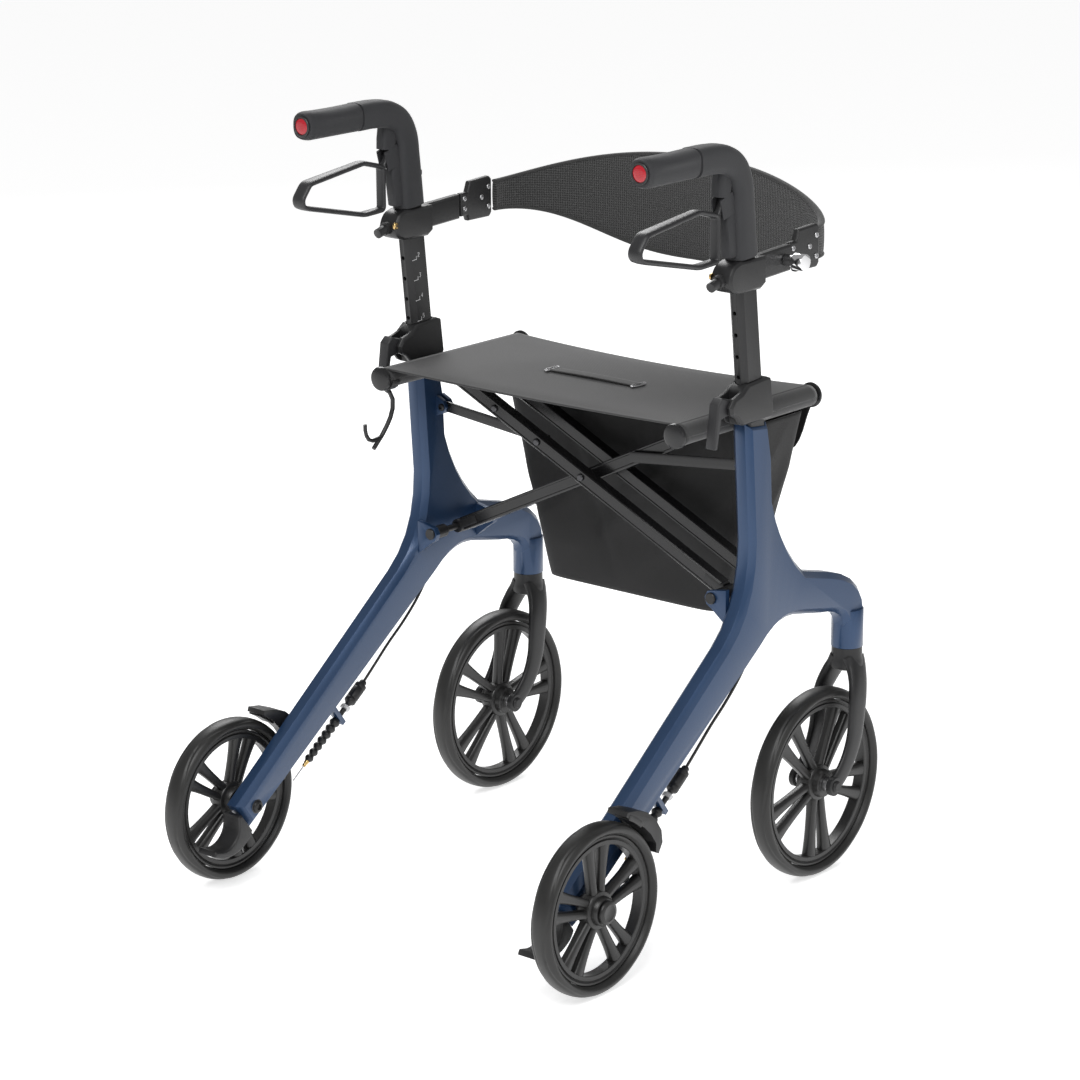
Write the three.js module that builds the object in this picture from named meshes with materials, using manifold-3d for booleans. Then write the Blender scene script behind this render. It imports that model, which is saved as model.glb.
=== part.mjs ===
// A folding walking frame on four wheels (rollator), in millimetres, +Z up.
// +Y is the way it is pushed, +X is the user's right. It stands on its wheels at Z = 0,
// and the origin is on the floor below the middle of its outline.

import * as THREE from 'three';
import { mergeVertices } from 'three/addons/utils/BufferGeometryUtils.js';
import Module from 'manifold-3d';

const wasm = await Module();
wasm.setup();

// ---------- driving dimensions ----------
// lengths along Y are measured from the rear axle while the parts are made

const rearWheelRadius = 100;
const frontWheelRadius = 117;
const tyreWidth = 28;
const rearWheelX = 286.4;
const sideX = 253;                    // middle plane of each side frame
const sideThickness = 28;
const frontAxleY = 458.7;
const steeringY = 520;
const headTubeRadius = 19.5;
const headTubeBottom = 275;

const postSlope = 0.106;              // the posts lean back this much per millimetre of height
const postY = 307.6;                  // of the post's axis at the height below
const postRefZ = 727;
const postDepth = 36;
const postWidth = 20;
const postChamfer = 6;

const seatTubeX = 225.5;
const seatTubeZ = 589.3;
const seatTubeRadius = 10.5;
const seatTubeRear = 218;
const seatTubeFront = 476;
const seatSleeveRadius = 12.5;
const braceX = 218.6;                 // lower pivots of the cross braces
const braceZ = 379.1;
const linkX = 230;                    // upper links, where they meet the uprights
const linkZ = 531.9;
const linkReach = 76;                 // from the crossing of the braces to the link's rivet

const gap = 0.3;

const kinds = {
  bluePaint: { color: 0x3f5f92, roughness: 0.38, metalness: 0.55 },
  blackPaint: { color: 0x2a2a2b, roughness: 0.5, metalness: 0.3 },
  blackPlastic: { color: 0x1f1f20, roughness: 0.6, metalness: 0 },
  greyPlastic: { color: 0x5c5d5f, roughness: 0.55, metalness: 0 },
  softGrip: { color: 0x3a3a3d, roughness: 0.75, metalness: 0 },
  tyreRubber: { color: 0x2b2b2b, roughness: 0.8, metalness: 0 },
  redLens: { color: 0xc3122a, roughness: 0.15, metalness: 0 },
  fabric: { color: 0x4a4a4a, roughness: 0.9, metalness: 0 },
  bagFabric: { color: 0x1d1c1d, roughness: 0.9, metalness: 0 },
  mesh: { color: 0x2e2e2e, roughness: 0.85, metalness: 0 },
  chrome: { color: 0xd8d8d8, roughness: 0.12, metalness: 1 },
  cable: { color: 0x4b463f, roughness: 0.5, metalness: 0 },
};

// ---------- solids ----------

const vec = (x, y, z) => new THREE.Vector3(x, y, z);

function solid(geometry) {
  const bare = geometry.index ? geometry.toNonIndexed() : geometry.clone();
  bare.deleteAttribute('normal');
  bare.deleteAttribute('uv');
  const merged = mergeVertices(bare, 1e-4);
  return new wasm.Manifold(new wasm.Mesh({
    numProp: 3,
    vertProperties: new Float32Array(merged.attributes.position.array),
    triVerts: new Uint32Array(merged.index.array),
  }));
}

function geometryOf(body) {
  const mesh = body.getMesh();
  const points = new Float32Array((mesh.vertProperties.length / mesh.numProp) * 3);
  for (let i = 0; i < points.length / 3; i++) {
    for (let k = 0; k < 3; k++) points[3 * i + k] = mesh.vertProperties[i * mesh.numProp + k];
  }
  const geometry = new THREE.BufferGeometry();
  geometry.setAttribute('position', new THREE.BufferAttribute(points, 3));
  geometry.setIndex(new THREE.BufferAttribute(new Uint32Array(mesh.triVerts), 1));
  return geometry;
}

const union = (first, ...others) => others.reduce((sum, one) => sum.add(one), first);
const cut = (first, ...others) => others.reduce((rest, one) => rest.subtract(one), first);

// an outline drawn in (y, z), given thickness along X
function sidePlate(shape, xMiddle, thickness, bevel = 0, curveSegments = 6) {
  const geometry = new THREE.ExtrudeGeometry(shape, {
    depth: thickness - 2 * bevel,
    bevelEnabled: bevel > 0,
    bevelThickness: bevel,
    bevelSize: bevel,
    bevelOffset: -bevel,
    bevelSegments: 1,
    curveSegments,
  });
  geometry.translate(0, 0, bevel - thickness / 2);
  geometry.applyMatrix4(new THREE.Matrix4().makeBasis(vec(0, 1, 0), vec(0, 0, 1), vec(1, 0, 0)));
  geometry.translate(xMiddle, 0, 0);
  return solid(geometry);
}

// an outline drawn in (x, z), given depth along Y from yRear to yFront
function frontPlate(shape, yRear, yFront, curveSegments = 6) {
  const geometry = new THREE.ExtrudeGeometry(shape, {
    depth: yFront - yRear,
    bevelEnabled: false,
    curveSegments,
  });
  geometry.applyMatrix4(new THREE.Matrix4().makeBasis(vec(1, 0, 0), vec(0, 0, 1), vec(0, -1, 0)));
  geometry.translate(0, yFront, 0);
  return solid(geometry);
}

// a section drawn in (x, y), carried straight between two points of one side's middle plane
function leaningBar(shape, x, yBottom, zBottom, yTop, zTop) {
  const along = vec(0, yTop - yBottom, zTop - zBottom);
  const length = along.length();
  along.normalize();
  const geometry = new THREE.ExtrudeGeometry(shape, { depth: length, bevelEnabled: false, curveSegments: 4 });
  const across = vec(1, 0, 0);
  geometry.applyMatrix4(new THREE.Matrix4().makeBasis(across, along.clone().cross(across), along));
  geometry.translate(x, yBottom, zBottom);
  return solid(geometry);
}

function lathe(profile, segments) {
  return new THREE.LatheGeometry(profile.map(([r, h]) => new THREE.Vector2(r, h)), segments);
}

// a turned solid; the profile's heights run along X, outwards on the right-hand side
function turnedX(profile, x, y, z, segments = 24) {
  const geometry = lathe(profile, segments);
  geometry.rotateZ(-Math.PI / 2);
  geometry.translate(x, y, z);
  return solid(geometry);
}

function turnedAlong(profile, from, to, segments = 12) {
  const geometry = lathe(profile, segments);
  const turn = new THREE.Quaternion().setFromUnitVectors(vec(0, 1, 0), to.clone().sub(from).normalize());
  geometry.applyQuaternion(turn);
  geometry.translate(from.x, from.y, from.z);
  return solid(geometry);
}

function rod(from, to, radius, segments = 12) {
  const length = from.distanceTo(to);
  return turnedAlong([[0, 0], [radius, 0], [radius, length], [0, length]], from, to, segments);
}

function sweep(points, section, steps) {
  const path = new THREE.CatmullRomCurve3(points, false, 'centripetal');
  const geometry = new THREE.ExtrudeGeometry(section, { steps, bevelEnabled: false, extrudePath: path, curveSegments: 3 });
  return solid(geometry);
}

function round(radius, sides) {
  const points = Array.from({ length: sides }, (_, i) => {
    const turn = (2 * Math.PI * (i + 0.5)) / sides;
    return new THREE.Vector2(radius * Math.cos(turn), radius * Math.sin(turn));
  });
  return new THREE.Shape(points);
}

function chamferedBox(width, depth, chamfer) {
  const w = width / 2;
  const d = depth / 2;
  return new THREE.Shape([
    [w - chamfer, -d], [w, -d + chamfer], [w, d - chamfer], [w - chamfer, d],
    [-w + chamfer, d], [-w, d - chamfer], [-w, -d + chamfer], [-w + chamfer, -d],
  ].map(([x, y]) => new THREE.Vector2(x, y)));
}

const polygon = (...points) => new THREE.Shape(points.map(([a, b]) => new THREE.Vector2(a, b)));
const toVectors = (points) => points.map(([a, b]) => new THREE.Vector2(a, b));

// Y of the post's axis at a height
const postAxisY = (z) => postY - postSlope * (z - postRefZ);

// the straight lower run of each brake cable, measured along it from its top
const cableTop = vec(sideX, 206, 203.5);
const cableFoot = vec(sideX, 102, 127);
const cableDirection = cableFoot.clone().sub(cableTop).normalize();
const cableUp = vec(0, cableDirection.z, -cableDirection.y);
const cablePoint = (distance) => cableTop.clone().addScaledVector(cableDirection, distance);
const cableLength = cableTop.distanceTo(cableFoot);
const lugAt = 59.5;
const lugHalf = 3;

// ---------- the object ----------

const model = new THREE.Group();
const middleY = (frontAxleY + frontWheelRadius - rearWheelRadius) / 2;
model.position.y = -middleY;

function add(name, geometry, kind) {
  const mesh = new THREE.Mesh(geometry, new THREE.MeshStandardMaterial(kinds[kind]));
  mesh.name = name;
  model.add(mesh);
}

const addSolid = (name, body, kind) => add(name, geometryOf(body), kind);

// the right-hand piece, and its mirror image on the left
function addPair(name, body, kind) {
  const right = geometryOf(body);
  const left = right.clone().scale(-1, 1, 1);
  const order = left.index.array;
  for (let i = 0; i < order.length; i += 3) [order[i], order[i + 1]] = [order[i + 1], order[i]];
  add(`${name}_right`, right, kind);
  add(`${name}_left`, left, kind);
}

// side frame: upright, swept leg, front arm and head tube in one casting
function sideFrame() {
  const outline = new THREE.Shape();
  outline.moveTo(-8, 75);
  outline.lineTo(-30, 106);
  outline.lineTo(94, 202);
  outline.lineTo(262, 334);
  outline.bezierCurveTo(296, 361, 311, 400, 311, 450);
  outline.lineTo(301.5, 592);
  outline.lineTo(341.5, 588);
  outline.lineTo(350, 545);
  outline.lineTo(352.6, 493);
  outline.quadraticCurveTo(371, 431.5, 417, 392);
  outline.lineTo(470, 379);
  outline.quadraticCurveTo(539, 362, 539.3, 318);
  outline.lineTo(539.3, headTubeBottom + 30);
  outline.lineTo(500.8, headTubeBottom + 30);
  outline.quadraticCurveTo(500, 328, 455, 332);
  outline.lineTo(400, 343);
  outline.quadraticCurveTo(365, 348, 330, 317);
  outline.lineTo(58, 121.5);
  const casting = sidePlate(outline, sideX, sideThickness, 7, 5);

  const headTube = rod(vec(sideX, steeringY, headTubeBottom), vec(sideX, steeringY, 322), headTubeRadius, 24);
  const boreBottom = 440;
  const postHole = leaningBar(
    chamferedBox(postWidth + 1, postDepth + 1, postChamfer),
    sideX, postAxisY(boreBottom), boreBottom, postAxisY(620), 620,
  );
  const axleHole = rod(vec(sideX - 30, 0, rearWheelRadius), vec(sideX + 30, 0, rearWheelRadius), 6.6, 12);
  const bearingHole = rod(vec(sideX, steeringY, headTubeBottom - 1), vec(sideX, steeringY, 314), 11, 16);
  const innerFace = sideX - sideThickness / 2;

  // ears that hold the lower brace pivot, on the inner face
  const ear = polygon([innerFace + 1, 350], [innerFace + 1, 392], [222, 389], [213, 387], [209, 379], [212, 371], [220, 366]);
  const ears = [[295, 302], [404, 411]].map(([rear, front]) => frontPlate(ear, rear, front));
  const pivotHole = rod(vec(braceX, 290, braceZ), vec(braceX, 420, braceZ), 4.6, 12);

  // smaller ears for the upper link
  const linkEar = polygon([innerFace + 1, 520], [innerFace + 1, 546], [228, 540], [223.5, 532], [228, 524]);
  const linkEars = [[331, 336.5], [341.5, 347]].map(([rear, front]) => frontPlate(linkEar, rear, front));

  // lug under the leg that the brake cable's adjuster screws into, square to the cable
  const lugPoint = (lengthwise, upwards) => {
    const { y, z } = cablePoint(lugAt + lengthwise).addScaledVector(cableUp, upwards);
    return [y, z];
  };
  const cableLug = sidePlate(polygon(
    lugPoint(-lugHalf, -9), lugPoint(lugHalf, -9), lugPoint(lugHalf, 24), lugPoint(-lugHalf, 24),
  ), sideX, 12);

  return cut(union(casting, headTube, ...ears, ...linkEars, cableLug), postHole, axleHole, bearingHole, pivotHole);
}
addPair('side_frame', sideFrame(), 'bluePaint');

// clamp block that holds the handle post at its height
const clampPivot = { y: 279, z: 615.5 };
function postClamp() {
  const outline = new THREE.Shape();
  outline.moveTo(293, 593);
  outline.lineTo(345, 593);
  outline.lineTo(349, 600);
  outline.lineTo(344, 640);
  outline.lineTo(336, 643);
  outline.lineTo(300, 640);
  outline.lineTo(288, 631);
  outline.lineTo(274, 627);
  outline.lineTo(267, 618);
  outline.lineTo(269, 609);
  outline.lineTo(280, 604);
  outline.lineTo(287, 596);
  const block = sidePlate(outline, sideX, 28.6, 3);
  const hole = leaningBar(
    chamferedBox(postWidth + 1, postDepth + 1, postChamfer),
    sideX, postAxisY(580), 580, postAxisY(660), 660,
  );
  const leverSlot = sidePlate(polygon([255, 570], [293, 570], [291, 640], [255, 640]), sideX, 15);
  return cut(block, hole, leverSlot);
}
addPair('post_clamp', postClamp(), 'blackPlastic');

function clampLever() {
  const { y, z } = clampPivot;
  const outline = polygon(
    [y + 8, z - 4], [y + 8, z + 3], [y + 2, z + 9], [y - 8, z + 11], [y - 18, z + 15], [y - 26, z + 8],
    [y - 30, z - 20], [y - 33, z - 43], [y - 27, z - 44], [y - 20, z - 10], [y - 10, z - 8], [y + 2, z - 8],
  );
  return sidePlate(outline, sideX, 14, 1.2);
}
addPair('clamp_lever', clampLever(), 'greyPlastic');

function handlePost() {
  const bottom = 546;
  const top = 866;
  const post = leaningBar(
    chamferedBox(postWidth, postDepth, postChamfer),
    sideX, postAxisY(bottom), bottom, postAxisY(top), top,
  );
  const bottoms = [646.7, 670.8, 696.4, 722.2];
  const holes = bottoms.map((z) => {
    const rear = postAxisY(z) - postDepth / 2;
    return rod(vec(sideX, rear - 2, z), vec(sideX, rear + 8, z + 1), 2.6, 10);
  });
  return cut(post, ...holes);
}
addPair('handle_post', handlePost(), 'blackPaint');

const gripZ = 905.5;
const gripRear = 119;
const gripFront = 208;
const brakePivot = { y: 267, z: 857 };
const collarBottom = 747.5;
const collarTop = 784;
function handleBody() {
  const route = [
    vec(sideX, gripFront + 0.5, gripZ),
    vec(sideX, 246, 905),
    vec(sideX, 272, 897),
    vec(sideX, 288, 876),
    vec(sideX, postAxisY(840), 840),
    vec(sideX, postAxisY(788), 788),
  ];
  const shell = sweep(route, chamferedBox(35, 35, 10), 10);
  // the post is deeper than the shell's rounded tube, so the shell has a flat spine front and back
  const spine = leaningBar(
    chamferedBox(26, 43, 6), sideX, postAxisY(collarTop + 4), collarTop + 4, postAxisY(868), 868,
  );
  const socket = leaningBar(
    chamferedBox(postWidth + 2 * gap, postDepth + 2 * gap, postChamfer),
    sideX, postAxisY(780), 780, postAxisY(866.5), 866.5,
  );
  // cheeks either side of the brake lever's pivot
  const { y, z } = brakePivot;
  const cheekOutline = polygon([y - 4, z - 4], [y + 9, z - 8], [y + 9, z + 10], [y - 4, z + 6]);
  const cheeks = [-1, 1].map((side) => sidePlate(cheekOutline, sideX + side * 7.6, 4));
  return cut(union(shell, spine, ...cheeks), socket);
}
addPair('handle_body', handleBody(), 'blackPlastic');

function grip() {
  const length = gripFront - gripRear;
  const profile = [
    [0, 0], [10.6, 0], [10.6, -2], [15, -2], [17.2, 2], [17.2, 30], [16.2, 55], [16.2, length], [0, length],
  ];
  return turnedAlong(profile, vec(sideX, gripRear, gripZ), vec(sideX, gripFront, gripZ), 20);
}
addPair('grip', grip(), 'softGrip');
addPair('reflector', rod(vec(sideX, gripRear - 3, gripZ), vec(sideX, gripRear - gap, gripZ), 10, 16), 'redLens');

// closed brake loop, squeezed up towards the grip
function brakeLever() {
  const outer = [[262, 843], [254, 845], [222, 856], [214, 856], [126, 842], [116, 836], [110, 821], [112, 810], [121, 802],
    [216, 780], [226, 780], [264, 801]];
  const inner = [[256, 838], [222, 849], [216, 849.5], [130, 836], [121, 831], [117, 820], [125, 808], [218, 787], [224, 787],
    [256, 805]];
  const loop = polygon(...outer);
  loop.holes.push(new THREE.Path(toVectors(inner)));
  const band = sidePlate(loop, sideX, 20);
  const { y, z } = brakePivot;
  const tab = sidePlate(polygon([256, 840], [263, 841], [y + 1, z - 4], [y + 1, z + 3], [y - 4, z + 4]), sideX, 10);
  return union(band, tab);
}
addPair('brake_lever', brakeLever(), 'blackPlastic');

// bracket clamped round the post, with an arm forward to the backrest
const armTop = 787;
const armBottom = 757;
const armFront = 390;
function backrestBracket() {
  const outline = new THREE.Shape();
  outline.moveTo(283, collarTop);
  outline.splineThru(toVectors([[270, 779], [263, 766], [267, 753], [280, collarBottom]]));
  outline.lineTo(322, collarBottom);
  outline.lineTo(331, 753);
  outline.lineTo(331, collarTop);
  const collar = sidePlate(outline, sideX, 30, 3, 3);
  const hole = leaningBar(
    chamferedBox(postWidth + 2 * gap, postDepth + 2 * gap, postChamfer),
    sideX, postAxisY(730), 730, postAxisY(800), 800,
  );
  const arm = sidePlate(polygon([329, 754], [armFront, armBottom], [armFront, armTop], [329, collarTop]), sideX, 11, 2);
  const knob = union(
    rod(vec(sideX, 276, 764), vec(sideX, 257, 763), 8, 12),
    rod(vec(sideX, 258, 763), vec(sideX, 245, 759), 6, 12),
  );
  return cut(union(collar, arm, knob), hole);
}
addPair('backrest_bracket', backrestBracket(), 'blackPlastic');

function backrestHinge() {
  const outline = polygon([391, 759], [402, 759], [404, 752], [444, 752], [448, 757], [448, 799], [444, 803], [408, 801],
    [403, 788], [391, 788]);
  return sidePlate(outline, sideX - 2, 9, 1.5);
}
addPair('backrest_hinge', backrestHinge(), 'blackPlastic');

// curved backrest strap between the two hinges
const strapHalf = 249;
const strapDepth = 92;
const strapRearY = 452;
function backrestStrap() {
  const steps = 18;
  const thickness = 9;
  const points = [];
  const faces = [];
  for (let i = 0; i <= steps; i++) {
    const turn = Math.PI * (1 - i / steps);
    const x = (strapHalf - 3) * Math.cos(turn);
    const y = strapRearY + strapDepth * Math.sin(turn);
    const share = Math.abs(x) / strapHalf;
    const top = 842 - 46 * share ** 2.2;
    const bottom = 712 + 48 * Math.sin((Math.PI / 2) * share) ** 3;
    const outward = vec(Math.cos(turn) / strapHalf, Math.sin(turn) / strapDepth, 0).normalize().multiplyScalar(thickness / 2);
    points.push(
      x - outward.x, y - outward.y, bottom, x + outward.x, y + outward.y, bottom,
      x + outward.x, y + outward.y, top, x - outward.x, y - outward.y, top,
    );
  }
  const quad = (a, b, c, d) => faces.push(a, c, b, a, d, c);
  for (let i = 0; i < steps; i++) {
    for (let k = 0; k < 4; k++) {
      const next = (k + 1) % 4;
      quad(4 * i + k, 4 * i + 4 + k, 4 * i + 4 + next, 4 * i + next);
    }
  }
  quad(0, 1, 2, 3);
  quad(4 * steps + 3, 4 * steps + 2, 4 * steps + 1, 4 * steps);
  const geometry = new THREE.BufferGeometry();
  geometry.setAttribute('position', new THREE.BufferAttribute(new Float32Array(points), 3));
  geometry.setIndex(faces);
  return geometry;
}
addSolid('backrest_strap', solid(backrestStrap()), 'mesh');

// pull pin on the right bracket, which frees the strap
addSolid('release_pin', union(
  rod(vec(sideX + 5.5 + gap, 378, 771), vec(sideX + 20, 378, 771), 7, 14),
  rod(vec(sideX + 19, 378, 771), vec(sideX + 34, 378, 771), 10, 14),
), 'chrome');

// ---------- wheels ----------

function tyre(radius, rimRadius, x, y, z) {
  const w = tyreWidth / 2;
  const profile = [
    [rimRadius, -9], [radius - 9, -w], [radius - 3.5, -w + 3], [radius, -5], [radius, 5],
    [radius - 3.5, w - 3], [radius - 9, w], [rimRadius, 9], [rimRadius, -9],
  ];
  return turnedX(profile, x, y, z, 32);
}

// rim with five double spokes: a slot in each spoke and an opening between two spokes
function rim(rimRadius, openingRadius, hubRadius, boreRadius, hubLength, x, y, z) {
  const spokes = 5;
  const arc = (radius, from, to, steps) => Array.from({ length: steps + 1 }, (_, i) => {
    const turn = from + ((to - from) * i) / steps;
    return new THREE.Vector2(radius * Math.cos(turn), radius * Math.sin(turn));
  });
  const disc = new THREE.Shape();
  disc.absarc(0, 0, 0.993 * rimRadius - gap, 0, 2 * Math.PI);
  disc.holes.push(new THREE.Path(round(boreRadius, 12).getPoints()));
  const addHole = (middle, innerHalf, outerHalf, innerRadius, outerRadius, steps) => {
    disc.holes.push(new THREE.Path([
      ...arc(innerRadius, middle - innerHalf, middle + innerHalf, 1),
      ...arc(outerRadius, middle + outerHalf, middle - outerHalf, steps),
    ]));
  };
  for (let i = 0; i < spokes; i++) {
    const turn = Math.PI / 2 + (2 * Math.PI * i) / spokes;
    addHole(turn, 0.1, 0.075, hubRadius + 10, openingRadius - 4, 1);
    addHole(turn + Math.PI / spokes, 0.22, 0.37, hubRadius + 8, openingRadius, 3);
  }
  const flat = new THREE.ExtrudeGeometry(disc, { depth: 16, bevelEnabled: false, curveSegments: 18 });
  flat.translate(0, 0, -8);
  flat.rotateY(Math.PI / 2);
  flat.translate(x, y, z);
  const half = hubLength / 2;
  const hub = turnedX([
    [boreRadius, -half], [hubRadius, -half], [hubRadius, half], [boreRadius, half], [boreRadius, -half],
  ], x, y, z, 12);
  return solid(flat).add(hub);
}

function wheel(prefix, radius, x, y, hubLength) {
  const rimRadius = radius - 13.5;
  addPair(`${prefix}_tyre`, tyre(radius, rimRadius, x, y, radius), 'tyreRubber');
  addPair(`${prefix}_rim`, rim(rimRadius, radius - 25, 18, 6.6, hubLength, x, y, radius), 'blackPlastic');
}
wheel('rear', rearWheelRadius, rearWheelX, 0, 32);
wheel('front', frontWheelRadius, sideX, frontAxleY, 34);

function rearAxle() {
  const profile = [
    [0, -48], [9, -48], [9, -47.6 - gap], [6, -47.6 - gap], [6, 16.4], [14, 16.4], [14, 19], [9, 22], [0, 22],
  ];
  return turnedX(profile, rearWheelX, 0, rearWheelRadius, 16);
}
addPair('rear_axle', rearAxle(), 'blackPlastic');

function frontAxle() {
  const half = 32.6;
  const profile = [[0, -half - 3], [7.5, -half - 3], [7.5, -half], [6, -half], [6, half], [7.5, half], [7.5, half + 3], [0, half + 3]];
  return turnedX(profile, sideX, frontAxleY, frontWheelRadius, 12);
}
addPair('front_axle', frontAxle(), 'blackPaint');

// fork: steering stem, cone crown and two blades that sweep back to the axle
function fork() {
  const crownBottom = 247;
  const crownHeight = headTubeBottom - gap - crownBottom;
  const stemLength = 36;
  const crown = turnedAlong([
    [0, 0], [19, 0], [21, 4], [19.5, 12], [18.5, crownHeight - 3], [18.5, crownHeight],
    [10.2, crownHeight], [10.2, crownHeight + stemLength], [0, crownHeight + stemLength],
  ], vec(sideX, steeringY, crownBottom), vec(sideX, steeringY, crownBottom + 1), 16);
  const blade = (side) => {
    const at = (out, y, z) => vec(sideX + side * out, y, z);
    return sweep(
      [at(13, 520, 258), at(20, 514, 238), at(26, 506, 216), at(28, 502, 192), at(28.5, 497, 165), at(28, 482, 138), at(27, 461, 112)],
      chamferedBox(24, 8, 2.5), 9,
    );
  };
  const ends = [-1, 1].map((side) => rod(
    vec(sideX + side * 23.5, frontAxleY, frontWheelRadius), vec(sideX + side * 32, frontAxleY, frontWheelRadius), 12, 12,
  ));
  const axleHole = rod(
    vec(sideX - 50, frontAxleY, frontWheelRadius), vec(sideX + 50, frontAxleY, frontWheelRadius), 6.6, 12,
  );
  return cut(union(crown, blade(-1), blade(1), ...ends), axleHole);
}
addPair('fork', fork(), 'blackPaint');

// ---------- brakes ----------

function brakeArm() {
  const plateX = sideX + sideThickness / 2 + 2.4;
  const hood = sidePlate(polygon(
    [46, 203], [64, 200], [82, 193], [97, 180], [107, 165], [109, 150], [102, 138],
    [97, 141], [97, 152], [88, 165], [76, 176.5], [60, 187.5], [44, 197.5],
  ), plateX + 12.3, 28);
  const shoeArc = new THREE.Shape();
  shoeArc.absarc(0, rearWheelRadius, 111, 0.85, 1.1, false);
  shoeArc.absarc(0, rearWheelRadius, 104.6, 1.1, 0.85, true);
  const shoe = sidePlate(shoeArc, rearWheelX, 20, 0, 3);
  const plate = sidePlate(polygon(
    [50, 200.5], [76, 190], [92, 178], [104, 162], [102, 141], [95, 136], [78, 107], [66, 106], [64, 112],
    [84, 146], [74, 172],
  ), plateX, 3.4);
  return union(hood, shoe, plate);
}
addPair('brake_arm', brakeArm(), 'blackPlastic');

function brakeCable() {
  const route = [
    vec(sideX, 322, 307), vec(sideX, 306, 288), vec(sideX, 280, 264), vec(sideX, 250, 241), vec(sideX, 226, 220.5),
    cablePoint(-0.6),
  ];
  return sweep(route, round(2, 8), 18);
}
addPair('brake_cable', brakeCable(), 'cable');

function cableAdjuster() {
  const length = lugAt - lugHalf - gap;
  const profile = [
    [0, 0], [4, 0], [5, 6], [7.5, 7], [7.5, 34], [5, 36], [3.4, 39], [3.4, length], [0, length],
  ];
  return turnedAlong(profile, cableTop, cableFoot, 12);
}
addPair('cable_adjuster', cableAdjuster(), 'blackPlastic');

// ribbed boot over the cable's end, with its ferrule and the bare wire to the brake arm
function cableBoot() {
  const top = cablePoint(lugAt + lugHalf + gap);
  const length = top.distanceTo(cableFoot);
  const ribs = 6;
  const pitch = length / ribs;
  const profile = [[0, 0]];
  for (let i = 0; i < ribs; i++) {
    profile.push([5, pitch * (i + 0.1)], [7.4 - 0.25 * i, pitch * (i + 0.5)], [5, pitch * (i + 0.9)]);
  }
  profile.push([3, length], [3, length + 8], [0, length + 8]);
  const boot = turnedAlong(profile, top, cableFoot, 8);
  return union(boot, rod(cableFoot, cablePoint(cableLength + 32), 1, 6));
}
addPair('cable_boot', cableBoot(), 'blackPlastic');

// kerb lever: a curved foot plate below the leg, to tip the frame over a kerb
function kerbLever() {
  const shape = new THREE.Shape();
  shape.moveTo(-10.5, 73);
  shape.splineThru(toVectors([[-18, 62], [-36, 52], [-58, 50], [-76, 57]]));
  shape.lineTo(-73, 63);
  shape.splineThru(toVectors([[-56, 60], [-42, 66], [-34, 78], [-33, 96]]));
  shape.lineTo(-28, 97);
  return sidePlate(shape, sideX - 2, 30, 2, 4);
}
addPair('kerb_lever', kerbLever(), 'blackPlastic');

// ---------- seat, braces and links ----------

function seatTube() {
  const tube = rod(vec(seatTubeX, seatTubeRear, seatTubeZ), vec(seatTubeX, seatTubeFront, seatTubeZ), seatTubeRadius, 16);
  const cap = (face, inner) => turnedAlong(
    [[0, 0], [13, 0], [15, 2], [15, 4.5], [11, 6], [0, 6]],
    vec(seatTubeX, face, seatTubeZ), vec(seatTubeX, inner, seatTubeZ), 20,
  );
  return union(tube, cap(seatTubeRear - 5, seatTubeRear + 3), cap(seatTubeFront + 5, seatTubeFront - 3));
}
addPair('seat_tube', seatTube(), 'blackPaint');

// a flat brace seen along Y: a straight bar from the lower pivot up to the opposite seat tube
function brace(side, yRear, yFront, height) {
  const foot = vec(side * braceX, 0, braceZ);
  const head = vec(-side * seatTubeX, 0, seatTubeZ);
  const length = foot.distanceTo(head) - seatSleeveRadius - 0.6;
  const outline = new THREE.Shape();
  outline.absarc(0, 0, height / 2, Math.PI / 2, 1.5 * Math.PI, false);
  outline.lineTo(length, -height / 2);
  outline.lineTo(length, height / 2);
  const eye = new THREE.Path();
  eye.absarc(0, 0, 4.6, 0, 2 * Math.PI, true);
  outline.holes.push(eye);
  const geometry = new THREE.ExtrudeGeometry(outline, { depth: yFront - yRear, bevelEnabled: false, curveSegments: 8 });
  const along = head.clone().sub(foot).normalize();
  const depth = vec(0, 1, 0);
  geometry.applyMatrix4(new THREE.Matrix4().makeBasis(along, depth.clone().cross(along), depth));
  geometry.translate(foot.x, yRear, foot.z);
  return solid(geometry);
}
const braceHeight = 17;
const crossingZ = braceZ + (braceX * (seatTubeZ - braceZ)) / (braceX + seatTubeX);
const rivet = (x, z, rear, front) => rod(vec(x, rear, z), vec(x, front, z), 5, 12);
const along = vec(braceX + seatTubeX, 0, seatTubeZ - braceZ).normalize();
addSolid('brace_a_rear', union(
  brace(1, 321, 337, braceHeight),
  rivet(0, crossingZ, 319, 322),
  rivet(-linkReach * along.x, crossingZ + linkReach * along.z, 319, 322),
), 'blackPaint');
addSolid('brace_a_front', brace(1, 386, 402, braceHeight), 'blackPaint');
addSolid('brace_b', union(
  brace(-1, 343.5, 378, braceHeight),
  rivet(linkReach * along.x, crossingZ + linkReach * along.z, 340.8, 344),
), 'blackPaint');

function bracePin() {
  const shaft = rod(vec(braceX, 293, braceZ), vec(braceX, 413, braceZ), 4, 12);
  const head = rod(vec(braceX, 291.5, braceZ), vec(braceX, 294.7, braceZ), 7, 12);
  const sleeve = rod(vec(braceX, 302.3, braceZ), vec(braceX, 320.5, braceZ), 8, 12);
  return union(shaft, head, sleeve);
}
addPair('brace_pin', bracePin(), 'blackPaint');

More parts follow.
